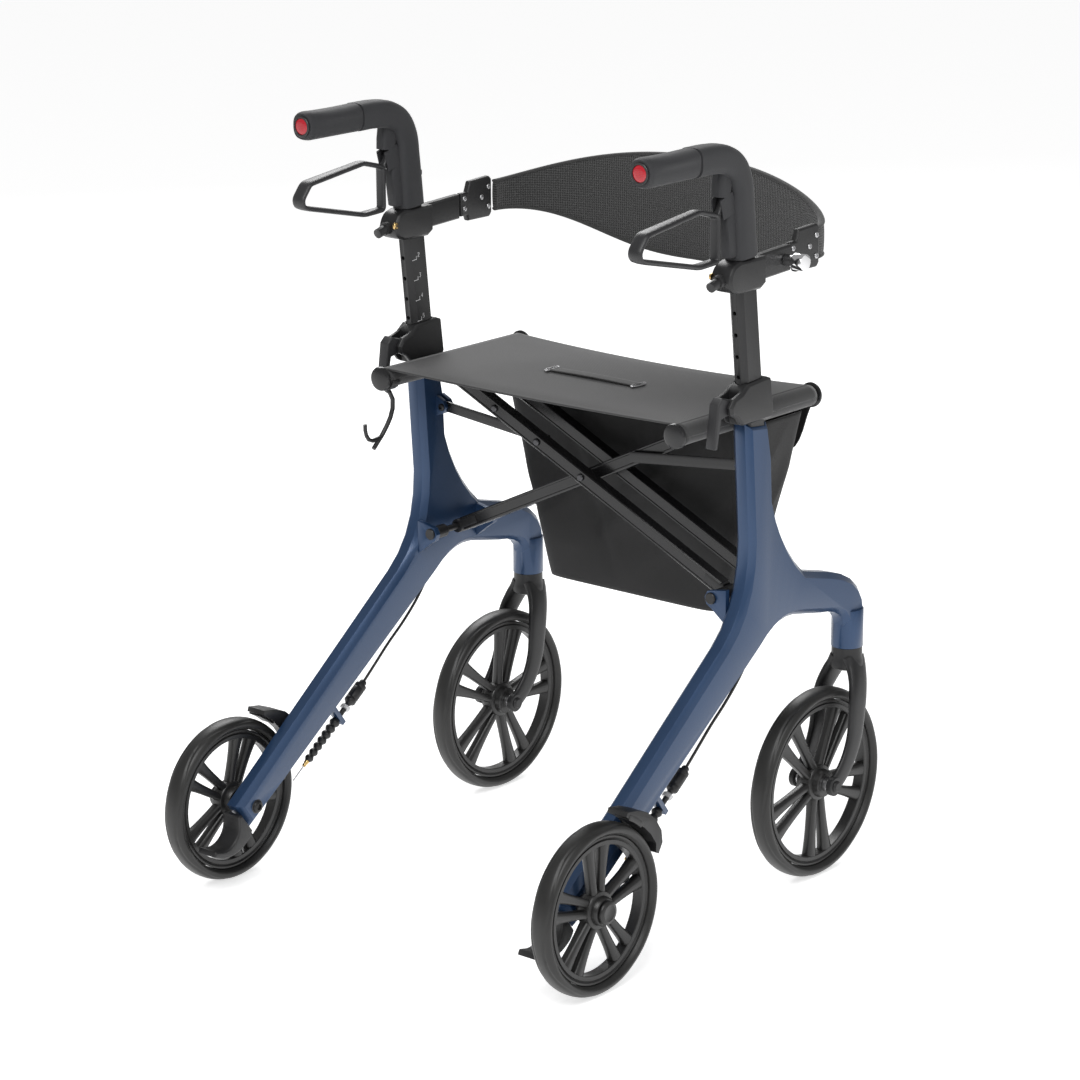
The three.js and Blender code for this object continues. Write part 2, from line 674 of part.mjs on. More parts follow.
function upperLink() {
  const rivetX = linkReach * along.x;
  const rivetZ = crossingZ + linkReach * along.z;
  const direction = vec(rivetX - linkX, 0, rivetZ - linkZ);
  const length = direction.length();
  direction.normalize();
  const outline = new THREE.Shape();
  outline.absarc(0, 0, 6.5, Math.PI / 2, 1.5 * Math.PI, false);
  outline.absarc(length, 0, 7.5, -Math.PI / 2, Math.PI / 2, false);
  const geometry = new THREE.ExtrudeGeometry(outline, { depth: 3, bevelEnabled: false, curveSegments: 6 });
  const depth = vec(0, 1, 0);
  geometry.applyMatrix4(new THREE.Matrix4().makeBasis(direction, depth.clone().cross(direction), depth));
  geometry.translate(linkX, 337.5, linkZ);
  return solid(geometry);
}
addPair('upper_link', upperLink(), 'blackPaint');

// seat: fabric slung between the seat tubes, with a sleeve round each
function seat() {
  const sleeveInner = seatTubeRadius + 0.4;
  const sleeveOuter = seatSleeveRadius;
  const sling = new THREE.Shape();
  const half = seatTubeX - 6;
  const top = seatTubeZ + sleeveOuter - 1.2;
  const sag = 7;
  sling.moveTo(-half, top);
  sling.quadraticCurveTo(0, top - 2 * sag, half, top);
  sling.lineTo(half, top - 2);
  sling.quadraticCurveTo(0, top - 2 * sag - 2, -half, top - 2);
  const rear = seatTubeRear + 3.5;
  const front = seatTubeFront - 3.5;
  let body = frontPlate(sling, rear, front, 8);
  for (const side of [-1, 1]) {
    body = body.add(rod(vec(side * seatTubeX, rear, seatTubeZ), vec(side * seatTubeX, front, seatTubeZ), sleeveOuter, 16));
  }
  for (const side of [-1, 1]) {
    body = body.subtract(
      rod(vec(side * seatTubeX, rear - 5, seatTubeZ), vec(side * seatTubeX, front + 5, seatTubeZ), sleeveInner, 16),
    );
  }
  return body;
}
addSolid('seat', seat(), 'fabric');

addSolid('seat_pull_strap', frontPlate(polygon([-66, 594.9], [66, 594.9], [60, 597.9], [-60, 597.9]), 340, 354), 'fabric');

// bag below the front of the seat, open at the top
function bag() {
  const rear = 407;
  const front = 512;
  const outer = frontPlate(polygon([-134, 316], [134, 316], [202, 566], [-202, 566]), rear, front);
  const inner = frontPlate(polygon([-130, 320], [130, 320], [200.5, 580], [-200.5, 580]), rear + 4, front - 4);
  return cut(outer, inner);
}
addSolid('bag', bag(), 'bagFabric');

// cane holder, clipped on the rear end of the left seat tube
function caneHook() {
  const x = -seatTubeX;
  const clip = cut(
    rod(vec(x, 221.8, seatTubeZ), vec(x, 235, seatTubeZ), 15.5, 16),
    rod(vec(x, 200, seatTubeZ), vec(x, 260, seatTubeZ), seatSleeveRadius + 1, 16),
    sidePlate(polygon([200, seatTubeZ - 2], [260, seatTubeZ - 2], [260, 620], [200, 620]), x, 40),
  );
  const stem = sweep([
    vec(x - 6, 229, seatTubeZ - 14.6), vec(x - 6, 242, 564), vec(x - 6, 243, 545), vec(x - 6, 230, 524), vec(x - 6, 208, 503),
  ], round(3, 8), 8);
  const prong = sweep([vec(x - 6, 221, 515), vec(x - 6, 203, 514), vec(x - 6, 195, 524), vec(x - 6, 194, 536)], round(2.6, 8), 6);
  return union(clip, stem, prong);
}
addSolid('cane_hook', caneHook(), 'blackPlastic');

export default model;
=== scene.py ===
import math
import bpy
import bmesh
import numpy as np
from mathutils import Matrix, Vector


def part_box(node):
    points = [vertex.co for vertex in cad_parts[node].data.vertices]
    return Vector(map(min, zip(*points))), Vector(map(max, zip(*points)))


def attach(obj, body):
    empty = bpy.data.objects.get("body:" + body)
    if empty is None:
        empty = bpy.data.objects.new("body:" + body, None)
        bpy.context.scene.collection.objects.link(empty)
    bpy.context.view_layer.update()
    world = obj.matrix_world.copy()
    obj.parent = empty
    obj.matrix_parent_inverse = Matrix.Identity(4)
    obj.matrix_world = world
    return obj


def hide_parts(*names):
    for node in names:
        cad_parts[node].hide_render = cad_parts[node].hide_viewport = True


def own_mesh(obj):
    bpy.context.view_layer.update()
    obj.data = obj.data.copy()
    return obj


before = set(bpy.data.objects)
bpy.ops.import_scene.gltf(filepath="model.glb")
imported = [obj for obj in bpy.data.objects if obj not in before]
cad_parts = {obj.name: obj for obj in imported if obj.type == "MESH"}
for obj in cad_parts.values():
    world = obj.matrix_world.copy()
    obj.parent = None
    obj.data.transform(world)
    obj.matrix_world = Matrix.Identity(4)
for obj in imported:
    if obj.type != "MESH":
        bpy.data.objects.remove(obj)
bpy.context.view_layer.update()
scene = bpy.context.scene
axleY = sum(corner[1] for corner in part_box("rear_tyre_right")) / 2  # lengths below are in mm from the rear axle
sides = (("right", 1), ("left", -1))
plane = 253.0  # side frames, forks, front wheels and handles stand this far out from the middle
frontAxle = (458.7, 117.0)  # its y and z


def place(points):
    # mm from the rear axle and the floor, to metres in the shared frame
    moved = np.array(points, float) / 1000
    moved[..., 1] += axleY
    return moved


# camera: the eye's place in mm, its heading and tilt in degrees, and the lens
view = {"eye": (2701.16, -2932.18, 1599.63), "heading": 40.36, "tilt": 15.776, "roll": -0.34, "lens": 121.84}


def makeCamera():
    heading, tilt, roll = (math.radians(view[key]) for key in ("heading", "tilt", "roll"))
    ahead = Vector((-math.sin(heading) * math.cos(tilt), math.cos(heading) * math.cos(tilt), -math.sin(tilt)))
    right = ahead.cross(Vector((0, 0, 1))).normalized()
    up = right.cross(ahead)
    turnedRight = math.cos(roll) * right + math.sin(roll) * up
    turnedUp = -math.sin(roll) * right + math.cos(roll) * up
    data = bpy.data.cameras.new("camera")
    data.lens = view["lens"]
    data.sensor_width = 36
    data.clip_end = 60
    camera = bpy.data.objects.new("camera", data)
    axes = Matrix((turnedRight, turnedUp, -ahead)).transposed().to_4x4()
    camera.matrix_world = Matrix.Translation(Vector(place(view["eye"]))) @ axes
    scene.collection.objects.link(camera)
    scene.camera = camera


makeCamera()
print("camera ready")


class Signal:
    # one number of a finish, with arithmetic that adds its Math nodes
    def __init__(self, finish, socket):
        self.finish = finish
        self.socket = socket

    def math(self, operation, *others):
        values = {0: self}
        values.update({i + 1: other for i, other in enumerate(others)})
        return self.finish.make("ShaderNodeMath", {"operation": operation}, values)

    def __add__(self, other): return self.math("ADD", other)
    def __radd__(self, other): return self.math("ADD", other)
    def __mul__(self, other): return self.math("MULTIPLY", other)
    def __rmul__(self, other): return self.math("MULTIPLY", other)
    def __sub__(self, other): return self.math("SUBTRACT", other)
    def __rsub__(self, other): return (self * -1) + other


class Finish:
    def __init__(self, name, slot, **fixed):
        self.material = bpy.data.materials.new(name)
        self.material.use_nodes = True
        self.slot = slot
        self.tree = self.material.node_tree
        self.shader = self.tree.nodes["Principled BSDF"]
        for key, value in fixed.items():
            self.shader.inputs[key.replace("_", " ")].default_value = value
        self.coordinates = self.make("ShaderNodeTexCoord", {}, {}, "Object")

    def make(self, kind, settings, values, output=0):
        node = self.tree.nodes.new(kind)
        for key, value in settings.items():
            setattr(node, key, value)
        for key, value in values.items():
            self.join(value, node.inputs[key])
        return Signal(self, node.outputs[output])

    def join(self, value, socket):
        if isinstance(value, Signal):
            self.tree.links.new(value.socket, socket)
        else:
            socket.default_value = value

    def set(self, key, value):
        self.join(value, self.shader.inputs[key])

    def noise(self, scale, detail=3, roughness=0.5):
        values = {"Vector": self.coordinates, "Scale": scale, "Detail": detail, "Roughness": roughness}
        return self.make("ShaderNodeTexNoise", {}, values, "Fac")

    def along(self, vector):
        # the first two numbers of a vector
        first = self.make("ShaderNodeSeparateXYZ", {}, {0: vector})
        return [Signal(self, socket) for socket in first.socket.node.outputs[:2]]

    def shadeBetween(self, mask, dark, light):
        # colour from dark to light as the mask goes from 0 to 1
        return self.make("ShaderNodeMix", {"data_type": "RGBA"}, {0: mask, 6: (*dark, 1), 7: (*light, 1)}, 2)

    def paint(self, mask, dark, light):
        self.set("Base Color", self.shadeBetween(mask, dark, light))

    def relief(self, height, strength, distance):
        values = {"Height": height, "Strength": strength, "Distance": distance}
        self.set("Normal", self.make("ShaderNodeBump", {}, values, "Normal"))


def paintedAlloy():
    # satin metallic paint over a cast frame: fine flake, slight orange peel, a little road dust
    finish = Finish("blueAlloyPaint", "blue_paint", Metallic=0.4, Coat_Weight=0.3, Coat_Roughness=0.16)
    flake = finish.noise(1800, 2)
    cloud = finish.noise(9, 4)
    finish.paint(flake * 0.5 + cloud * 0.5, (0.011, 0.034, 0.086), (0.024, 0.062, 0.145))
    finish.set("Roughness", cloud * 0.14 + 0.29)
    finish.relief(finish.noise(260, 2) * 0.6 + flake * 0.4, 0.12, 0.0006)
    return finish


def powderCoat(name, roughness):
    finish = Finish(name, "black_paint", Metallic=0.1)
    grain = finish.noise(900, 3)
    wear = finish.noise(22, 5)
    finish.paint(wear, (0.007, 0.007, 0.0075), (0.016, 0.016, 0.017))
    finish.set("Roughness", wear * 0.16 + roughness)
    finish.relief(grain, 0.6 * roughness, 0.0005)
    return finish


def mouldedPlastic(name, slot, dark, light, roughness):
    finish = Finish(name, slot)
    grain = finish.noise(1500, 2)
    cloud = finish.noise(14, 4)
    finish.paint(cloud, dark, light)
    finish.set("Roughness", cloud * 0.14 + (roughness - 0.07))
    finish.relief(grain, 0.3, 0.0004)
    return finish


def softTouch():
    finish = Finish("softGripFoam", "soft_grip", Sheen_Weight=0.08, Sheen_Roughness=0.5)
    pores = finish.make("ShaderNodeTexVoronoi", {}, {"Vector": finish.coordinates, "Scale": 900}, "Distance")
    cloud = finish.noise(30, 4)
    finish.paint(cloud, (0.013, 0.0135, 0.0155), (0.025, 0.0255, 0.0285))
    finish.set("Roughness", cloud * 0.15 + 0.6)
    finish.relief(pores, 0.25, 0.0004)
    return finish


def wheelRubber():
    finish = Finish("tyreRubber", "tyre_rubber")
    scuff = finish.noise(70, 6, roughness=0.65)
    dust = finish.noise(11, 4)
    finish.paint(dust * 0.6 + scuff * 0.4, (0.007, 0.007, 0.0068), (0.02, 0.0196, 0.0188))
    finish.set("Roughness", scuff * 0.16 + 0.34)
    finish.relief(scuff, 0.14, 0.0006)
    return finish


def wovenCloth(name, slot, dark, light, pitch, depth, sheen=0.3):
    # plain weave: warp and weft ribs cross at right angles, one up and one down in turn
    finish = Finish(name, slot, Sheen_Weight=sheen, Sheen_Roughness=0.45)
    uv = finish.make("ShaderNodeUVMap", {"uv_map": "cloth"}, {}, "UV")
    u, v = finish.along(uv)
    turns = math.pi / pitch
    warp = (u * turns).math("SINE")
    weft = (v * turns).math("SINE")
    weave = (warp * weft) * 0.5 + 0.5
    fuzz = finish.noise(3.0, 4)
    slub = finish.noise(240, 2)
    mask = weave * 0.4 + fuzz * 0.3 + slub * 0.3
    finish.paint(mask, dark, light)
    finish.set("Roughness", fuzz * 0.15 + 0.68)
    finish.relief(weave * 0.7 + slub * 0.3, 0.5, depth)
    return finish


def spacerMesh():
    # three-layer mesh: round open cells in staggered rows over a dark core; the colour is darkest in the middle of
    # each cell, the dark core with painted shade in the cell's hollow
    finish = Finish("spacerMesh", "strap_mesh", Sheen_Weight=0.2, Sheen_Roughness=0.5)
    uv = finish.make("ShaderNodeUVMap", {"uv_map": "cloth"}, {}, "UV")
    cells = finish.make("ShaderNodeTexVoronoi", {"voronoi_dimensions": "2D"},
                        {"Vector": uv, "Scale": 330.0, "Randomness": 0.12}, "Distance")
    rib = ((cells - 0.22) * 3.2).math("MAXIMUM", 0.0).math("MINIMUM", 1.0)
    fuzz = finish.noise(18, 4)
    # painted shade: the colour follows the relief, near black low in each cell and lighter on the raised ribs
    finish.paint(rib * 0.85 + fuzz * 0.15, (0.004, 0.004, 0.004), (0.06, 0.06, 0.06))
    finish.set("Roughness", fuzz * 0.2 + 0.62)
    finish.relief(rib, 0.8, 0.0012)
    return finish


def brightMetal(name, slot, colour, roughness):
    finish = Finish(name, slot, Metallic=1.0)
    brush = finish.noise(60, 3)
    finish.paint(brush, tuple(0.82 * c for c in colour), colour)
    finish.set("Roughness", brush * 0.12 + roughness)
    finish.relief(brush, 0.05, 0.0003)
    return finish


def reflectorLensPaintedGlow():
    # cube-corner cells behind a clear red lens; a faint emission, stronger in the cell pattern, is painted glow
    # that stands in for light the cells throw back
    finish = Finish("reflectorLensPaintedGlow", "red_lens", Coat_Weight=0.4, Coat_Roughness=0.03, Emission_Strength=0.04)
    values = {"Vector": finish.coordinates, "Scale": 520, "Randomness": 0.1}
    cells = finish.make("ShaderNodeTexVoronoi", {}, values, "Distance")
    finish.paint(cells, (0.22, 0.0, 0.006), (0.5, 0.008, 0.02))
    # painted glow: the emission colour follows the cells, so the lens shines a little by itself though it is no
    # lamp
    finish.set("Emission Color", finish.shadeBetween(cells, (0.5, 0.0, 0.01), (1.0, 0.03, 0.06)))
    finish.set("Roughness", cells * 0.1 + 0.12)
    finish.relief(cells, 0.3, 0.0004)
    return finish


blueAlloy = paintedAlloy()
blackCoat = powderCoat("blackPowderCoat", 0.34)
glossCoat = powderCoat("blackGlossPaint", 0.15)
blackPlastic = mouldedPlastic("blackPlastic", "black_plastic", (0.008, 0.008, 0.0085), (0.017, 0.017, 0.018), 0.42)
wheelPlastic = mouldedPlastic("wheelPlastic", "black_plastic", (0.008, 0.008, 0.0083), (0.02, 0.0195, 0.019), 0.34)
greyPlastic = mouldedPlastic("darkGreyPlastic", "grey_plastic", (0.014, 0.0142, 0.0155),
                             (0.028, 0.028, 0.03), 0.46)
leverPlastic = mouldedPlastic("leverPlastic", "black_plastic", (0.013, 0.0132, 0.0142),
                              (0.024, 0.024, 0.026), 0.42)
gripFoam = softTouch()
tyreRubber = wheelRubber()
seatCloth = wovenCloth("seatCloth", "seat_fabric", (0.012, 0.012, 0.0125), (0.05, 0.05, 0.051),
                       pitch=0.0013, depth=0.0005)
bagCloth = wovenCloth("bagNylon", "bag_fabric", (0.004, 0.0038, 0.004), (0.015, 0.0145, 0.015),
                      pitch=0.0006, depth=0.0003, sheen=0.12)
pipingCloth = wovenCloth("pipingCloth", "strap_mesh", (0.012, 0.012, 0.012), (0.04, 0.04, 0.04),
                         pitch=0.0008, depth=0.0003)
meshCloth = spacerMesh()
chrome = brightMetal("chrome", "chrome", (0.86, 0.86, 0.87), 0.06)
steel = brightMetal("zincSteel", "chrome", (0.55, 0.55, 0.56), 0.25)
brass = brightMetal("brassFitting", "chrome", (0.75, 0.52, 0.22), 0.2)
redLensPaintedGlow = reflectorLensPaintedGlow()
darkSteel = brightMetal("darkSteel", "chrome", (0.09, 0.09, 0.095), 0.24)
sheathPlastic = mouldedPlastic("cableSheath", "cable_sheath", (0.02, 0.019, 0.017), (0.04, 0.038, 0.033), 0.4)
whiteInk = mouldedPlastic("whiteInk", "black_paint", (0.55, 0.55, 0.56), (0.75, 0.75, 0.76), 0.5)
print("finishes ready")


seam = 2e-6  # points closer than this, in metres, are one


def ringFaces(rows, columns, closedAlong=False, closedRound=True, caps=True):
    # quads between neighbouring rows of a grid, and one flat face over each open end
    row = np.arange(rows if closedAlong else rows - 1)
    column = np.arange(columns if closedRound else columns - 1)
    r, c = np.meshgrid(row, column, indexing="ij")
    nextR = (r + 1) % rows
    nextC = (c + 1) % columns
    quads = np.stack([r * columns + c, r * columns + nextC, nextR * columns + nextC, nextR * columns + c], -1)
    faces = quads.reshape(-1, 4).tolist()
    if caps and not closedAlong and closedRound:
        faces.append(list(range(columns))[::-1])
        faces.append([(rows - 1) * columns + i for i in range(columns)])
    return faces


def unit(vectors):
    return vectors / np.maximum(np.linalg.norm(vectors, axis=-1, keepdims=True), 1e-12)


def smoothPath(points, count):
    # a cubic through the points, whose slope at each is that between its two neighbours
    points = np.array(points, float)
    reach = np.concatenate([[0], np.cumsum(np.linalg.norm(np.diff(points, axis=0), axis=1))])
    slope = np.gradient(points, reach, axis=0)
    s = np.linspace(0, reach[-1], count)
    i = np.clip(np.searchsorted(reach, s, side="right") - 1, 0, len(points) - 2)
    span = (reach[i + 1] - reach[i])[:, None]
    t = ((s - reach[i]) / span[:, 0])[:, None]
    return ((2 * t**3 - 3 * t**2 + 1) * points[i] + (t**3 - 2 * t**2 + t) * span * slope[i]
            + (-2 * t**3 + 3 * t**2) * points[i + 1] + (t**3 - t**2) * span * slope[i + 1])


def roundedBox(width, depth, power, count):
    # a rounded rectangle: |x|^p + |y|^p = 1, stretched to its width and depth
    turn = np.linspace(0, 2 * np.pi, count, endpoint=False)
    c, s = np.cos(turn), np.sin(turn)
    scale = (np.abs(c)**power + np.abs(s)**power) ** (-1 / power)
    return np.stack([c * scale * width / 2, s * scale * depth / 2], -1)


def sections(wide, deep, power, count):
    # rounded rectangles of a changing width and depth, one for each point of a path
    sizes = np.stack(np.broadcast_arrays(wide, deep), -1)
    return sizes[:, None] * roundedBox(1, 1, power, count)


def carried(path, profile, side=(1, 0, 0), closed=False):
    # a profile (across, outwards) carried along a path: across lies along the side direction
    path = np.array(path, float)
    if closed:
        tangent = unit(np.roll(path, -1, axis=0) - np.roll(path, 1, axis=0))
    else:
        tangent = unit(np.gradient(path, axis=0))
    across = np.array(side, float)
    across = unit(across - (tangent @ across)[:, None] * tangent)
    outwards = np.cross(tangent, across)
    profile = np.array(profile, float)
    if profile.ndim == 2:
        profile = np.broadcast_to(profile, (len(path), *profile.shape))
    return path[:, None] + profile[..., :1] * across[:, None] + profile[..., 1:] * outwards[:, None]


def turned(profile, centre, axis, segments=48):
    # a profile (radius, distance along the axis) turned once round the axis through the centre
    profile = np.array(profile, float)
    axis = unit(np.array(axis, float))
    first = unit(np.cross(axis, (0.3, 0.5, 0.81)))
    second = np.cross(axis, first)
    turn = np.linspace(0, 2 * np.pi, segments, endpoint=False)[None, :, None]
    spoke = np.cos(turn) * first + np.sin(turn) * second
    return np.array(centre, float) + profile[:, None, :1] * spoke + profile[:, None, 1:] * axis


def joined(grids):
    # several closed grids as one list of points and one of faces
    faces, count = [], 0
    for points in grids:
        faces += [[i + count for i in face] for face in ringFaces(*points.shape[:2])]
        count += points.shape[0] * points.shape[1]
    return np.concatenate([points.reshape(-1, 3) for points in grids]), faces


def makePiece(name, points, faces, finish, body, stands=(), angle=35, uv=None):
    mesh = bpy.data.meshes.new(name)
    mesh.from_pydata(place(points).reshape(-1, 3).tolist(), [], faces)
    if uv is not None:
        corners = np.empty(len(mesh.loops), dtype=np.int32)
        mesh.loops.foreach_get("vertex_index", corners)
        layer = mesh.uv_layers.new(name="cloth")
        layer.data.foreach_set("uv", uv.reshape(-1, 2)[corners].astype(np.float32).ravel())
    return dress(name, mesh, finish, body, stands, angle)


def dress(name, mesh, finish, body, stands, angle, bevel=0):
    # joins the seams, turns the faces outwards, and gives the piece its finish, body and edges
    work = bmesh.new()
    work.from_mesh(mesh)
    bmesh.ops.remove_doubles(work, verts=work.verts, dist=seam)
    bmesh.ops.recalc_face_normals(work, faces=work.faces)
    work.to_mesh(mesh)
    work.free()
    mesh.shade_smooth()
    if not bevel:
        mesh.set_sharp_from_angle(angle=math.radians(angle))
    obj = bpy.data.objects.new(name, mesh)
    scene.collection.objects.link(obj)
    mesh.materials.append(finish.material)
    if bevel:
        edge = obj.modifiers.new("softEdges", "BEVEL")
        edge.width = bevel / 1000
        edge.segments = 2
        edge.limit_method = "ANGLE"
        edge.angle_limit = math.radians(angle)
        edge.harden_normals = True
    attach(obj, body)
    if stands:
        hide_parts(*stands)
    return obj


def swept(name, path, profile, finish, body, stands=(), angle=60, side=(1, 0, 0), closed=False, uv=None):
    # a piece whose surface is a profile carried along a path
    points = carried(path, profile, side, closed)
    faces = ringFaces(*points.shape[:2], closedAlong=closed)
    return makePiece(name, points, faces, finish, body, stands, angle, uv)


def circle(radius, sides):
    turn = np.linspace(0, 2 * np.pi, sides, endpoint=False)
    return radius * np.stack([np.cos(turn), np.sin(turn)], -1)


def tube(name, path, radius, finish, body, stands=(), sides=12):
    return swept(name, path, circle(radius, sides), finish, body, stands)


def lathe(name, profile, centre, axis, finish, body, stands=(), segments=48, closed=False, angle=35):
    points = turned(profile, centre, axis, segments)
    faces = ringFaces(*points.shape[:2], closedAlong=closed, caps=False)
    return makePiece(name, points, faces, finish, body, stands, angle)


def thicken(obj, thickness):
    # gives a sheet of cloth its thickness, half to each side
    wall = obj.modifiers.new("cloth", "SOLIDIFY")
    wall.thickness = thickness
    wall.offset = 0


def refined(node, finish, body, bevel):
    # the node's own solid, merged and with flat faces joined, then its edges softened
    flat = math.radians(1.5)
    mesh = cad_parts[node].data.copy()
    mesh.name = f"{node}_shape"
    mesh.materials.clear()
    work = bmesh.new()
    work.from_mesh(mesh)
    bmesh.ops.remove_doubles(work, verts=work.verts, dist=seam)
    bmesh.ops.dissolve_limit(work, angle_limit=flat, verts=work.verts, edges=work.edges)
    work.to_mesh(mesh)
    work.free()
    return dress(f"{node}_shape", mesh, finish, body, (node,), 30, bevel)


def bolt(name, centre, axis, radius, height, finish, body, socket=True):
    # domed round head with a hexagon socket
    r, h = radius, height
    profile = [(0, -1.0), (r, -1.0), (r, 0.35 * h), (0.9 * r, 0.75 * h), (0.62 * r, h), (0.5 * r, h)]
    profile += [(0.48 * r, 0.3 * h), (0, 0.3 * h)] if socket else [(0, h)]
    return lathe(name, profile, centre, axis, finish, body, segments=24, angle=50)


# each casting's finish, the body it rides, and how wide its edges are softened
castings = {"side_frame": (blueAlloy, "{}_frame", 3.0), "post_clamp": (blackPlastic, "{}_frame", 1.2),
            "clamp_lever": (greyPlastic, "clamp_lever_{}", 1.6), "handle_post": (blackCoat, "handle_{}", 1.2),
            "backrest_bracket": (blackPlastic, "handle_{}", 1.4),
            "backrest_hinge": (blackPlastic, "handle_{}", 1.2),
            "kerb_lever": (blackPlastic, "{}_frame", 1.2), "brake_arm": (blackPlastic, "brake_arm_{}", 0.8)}
for side, sign in sides:
    for kind, (finish, body, width) in castings.items():
        refined(f"{kind}_{side}", finish, body.format(side), width)
print("castings ready")

wheels = {"waves": 5, "grooveDepth": 1.0, "grooveWidth": 0.9, "spokes": 5, "segments": 160,
          "rear": {"radius": 100.0, "x": 286.4, "y": 0.0, "hub": 31.0},
          "front": {"radius": frontAxle[1], "x": plane, "y": frontAxle[0], "hub": 33.0}}
tread = 13.5  # from the rim to the ground


def wheelCentre(which, sign):
    size = wheels[which]
    return np.array((size["x"] * sign, size["y"], size["radius"]))


def wheelTyre(side, sign, which):
    # a full round tread over a flat wall, with a waved groove cut into each shoulder
    radius = wheels[which]["radius"]
    inner = radius - tread
    wall = [(inner, 8.6), (inner + 0.8, 9.8), (inner + 1.8, 11.2), (inner + 2.4, 12.2),
            (inner + 3.6, 13.3), (inner + 5.0, 13.8)]
    turn = np.linspace(0, np.pi / 2, 15)[1:-1]
    crown = [(radius - 8.5 + 8.5 * math.sin(a)**0.9, 13.9 * max(math.cos(a), 0)**0.85) for a in turn]
    half = np.array(wall + crown + [(radius, 0)])
    profile = np.concatenate([half[:-1] * (1, -1), half[::-1]])
    centre = wheelCentre(which, sign)
    points = turned(profile, centre, (sign, 0, 0), wheels["segments"])
    outwards = points - centre
    angle = np.arctan2(outwards[..., 2], outwards[..., 1])
    reach = np.hypot(outwards[..., 1], outwards[..., 2])
    # the groove's middle swings in and out as it goes round, and its depth falls off to both sides
    wave = 9.6 + 2.6 * np.sin(wheels["waves"] * angle)
    away = (np.abs(outwards[..., 0]) - wave) / wheels["grooveWidth"]
    cut = wheels["grooveDepth"] * np.exp(-away**2) * (reach > radius - 9.5)
    points = centre + outwards * (1 - cut / radius)[..., None]
    makePiece(f"{which}_tyre_{side}_rubber", points, ringFaces(*points.shape[:2], closedAlong=True, caps=False),
              tyreRubber, f"{which}_wheel_{side}", (f"{which}_tyre_{side}",), angle=50)


def wheelRim(side, sign, which, first):
    # rim ring, hub and five pairs of spokes that splay from the hub
    body = f"{which}_wheel_{side}"
    radius = wheels[which]["radius"]
    outer = 0.993 * (radius - tread) - 0.4
    lip = radius - 25.0
    centre = wheelCentre(which, sign)
    axis = (sign, 0, 0)
    half = [(lip, 6.2), (lip + 0.8, 7.2), (outer - 5.2, 7.4), (outer - 4.4, 6.0), (outer - 3.4, 6.4),
            (outer - 2.2, 8.0), (outer, 7.8)]
    face = [(outer, -7.8), (outer - 2.2, -8.0), (outer - 3.4, -6.4), (outer - 4.4, -6.0), (outer - 5.2, -7.4),
            (lip + 0.8, -7.2), (lip, -6.2)]
    lathe(f"{which}_rim_{side}_ring", face + half, centre, axis, wheelPlastic, body, (f"{which}_rim_{side}",),
          segments=96, closed=True)
    end = wheels[which]["hub"] / 2
    hub = [(6.8, -end), (15, -end), (16.5, -end + 1.5), (17.5, -8.5), (21.5, -7.5), (22.5, -6), (22.5, 6),
           (21.5, 7.5), (17.5, 8.5), (16.5, end - 1.5), (15, end), (6.8, end)]
    lathe(f"{which}_hub_{side}", hub, centre, axis, wheelPlastic, body, segments=64, closed=True)
    # each spoke: a rounded bar from the hub to the rim, wider at its root and its foot
    t = np.linspace(0, 1, 14)
    r = 20.0 + (lip + 2.5 - 20.0) * t
    width = 8.6 + 0.072 * lip * t + 1.2 * (1 - t)**3 + 4.5 * t**6
    height = 14.0 - 2.0 * np.sin(np.pi * t)
    bars = []
    for spoke in range(wheels["spokes"]):
        middle = math.radians(first) + 2 * np.pi * spoke / wheels["spokes"]
        for lean in (-1, 1):
            offset = lean * (6.4 + (0.172 * lip - 6.4) * t)
            path = np.stack([np.zeros_like(r), r * np.cos(middle) - offset * np.sin(middle),
                             r * np.sin(middle) + offset * np.cos(middle)], -1)
            bars.append(carried(path, sections(height, width, 3.2, 16)) + centre)
    makePiece(f"{which}_spokes_{side}", *joined(bars), wheelPlastic, body, angle=45)


def axleParts(side, sign):
    centre = wheelCentre("front", sign)
    for out in (-1, 1):
        spacer = [(6.6, 16.8), (8.6, 16.8), (8.6, 23.2), (6.6, 23.2)]
        lathe(f"front_spacer_{side}_{'outer' if out * sign > 0 else 'inner'}", spacer, centre, (out, 0, 0), steel,
              f"fork_{side}", segments=32, closed=True, angle=30)
    cap = [(0, -48), (8, -48), (9, -47.2), (9, -47.0), (6, -46.4), (6, 16.8), (11.5, 16.8), (14, 17.6),
           (14, 19.2), (13, 20.4), (9.5, 21.2), (8.8, 20.7), (0, 20.9)]
    hub = wheelCentre("rear", sign)
    lathe(f"rear_hub_cap_{side}", cap, hub, (sign, 0, 0), wheelPlastic, f"{side}_frame", (f"rear_axle_{side}",),
          angle=40)
    bolt(f"axle_bolt_{side}", hub - (48 * sign, 0, 0), (-sign, 0, 0), 7.5, 3, blackCoat, f"{side}_frame")
    end = [(32, 6), (32.4, 7.3), (33.6, 6.6), (35.0, 5), (35.0, 0)]
    axle = [(r, -x) for x, r in end[::-1]] + [(r, x) for x, r in end]
    lathe(f"front_axle_bolt_{side}", axle, centre, (sign, 0, 0), blackCoat, f"fork_{side}",
          (f"front_axle_{side}",), segments=24, angle=40)


for side, sign in sides:
    wheelTyre(side, sign, "rear")
    wheelRim(side, sign, "rear", 90 if sign > 0 else 70)
    wheelTyre(side, sign, "front")
    wheelRim(side, sign, "front", 57 if sign > 0 else 77)
    axleParts(side, sign)
print("wheels ready")

forks = {"bladeWidth": 24.5, "bladeThick": 8.6, "steerY": 520, "crownFoot": 247}


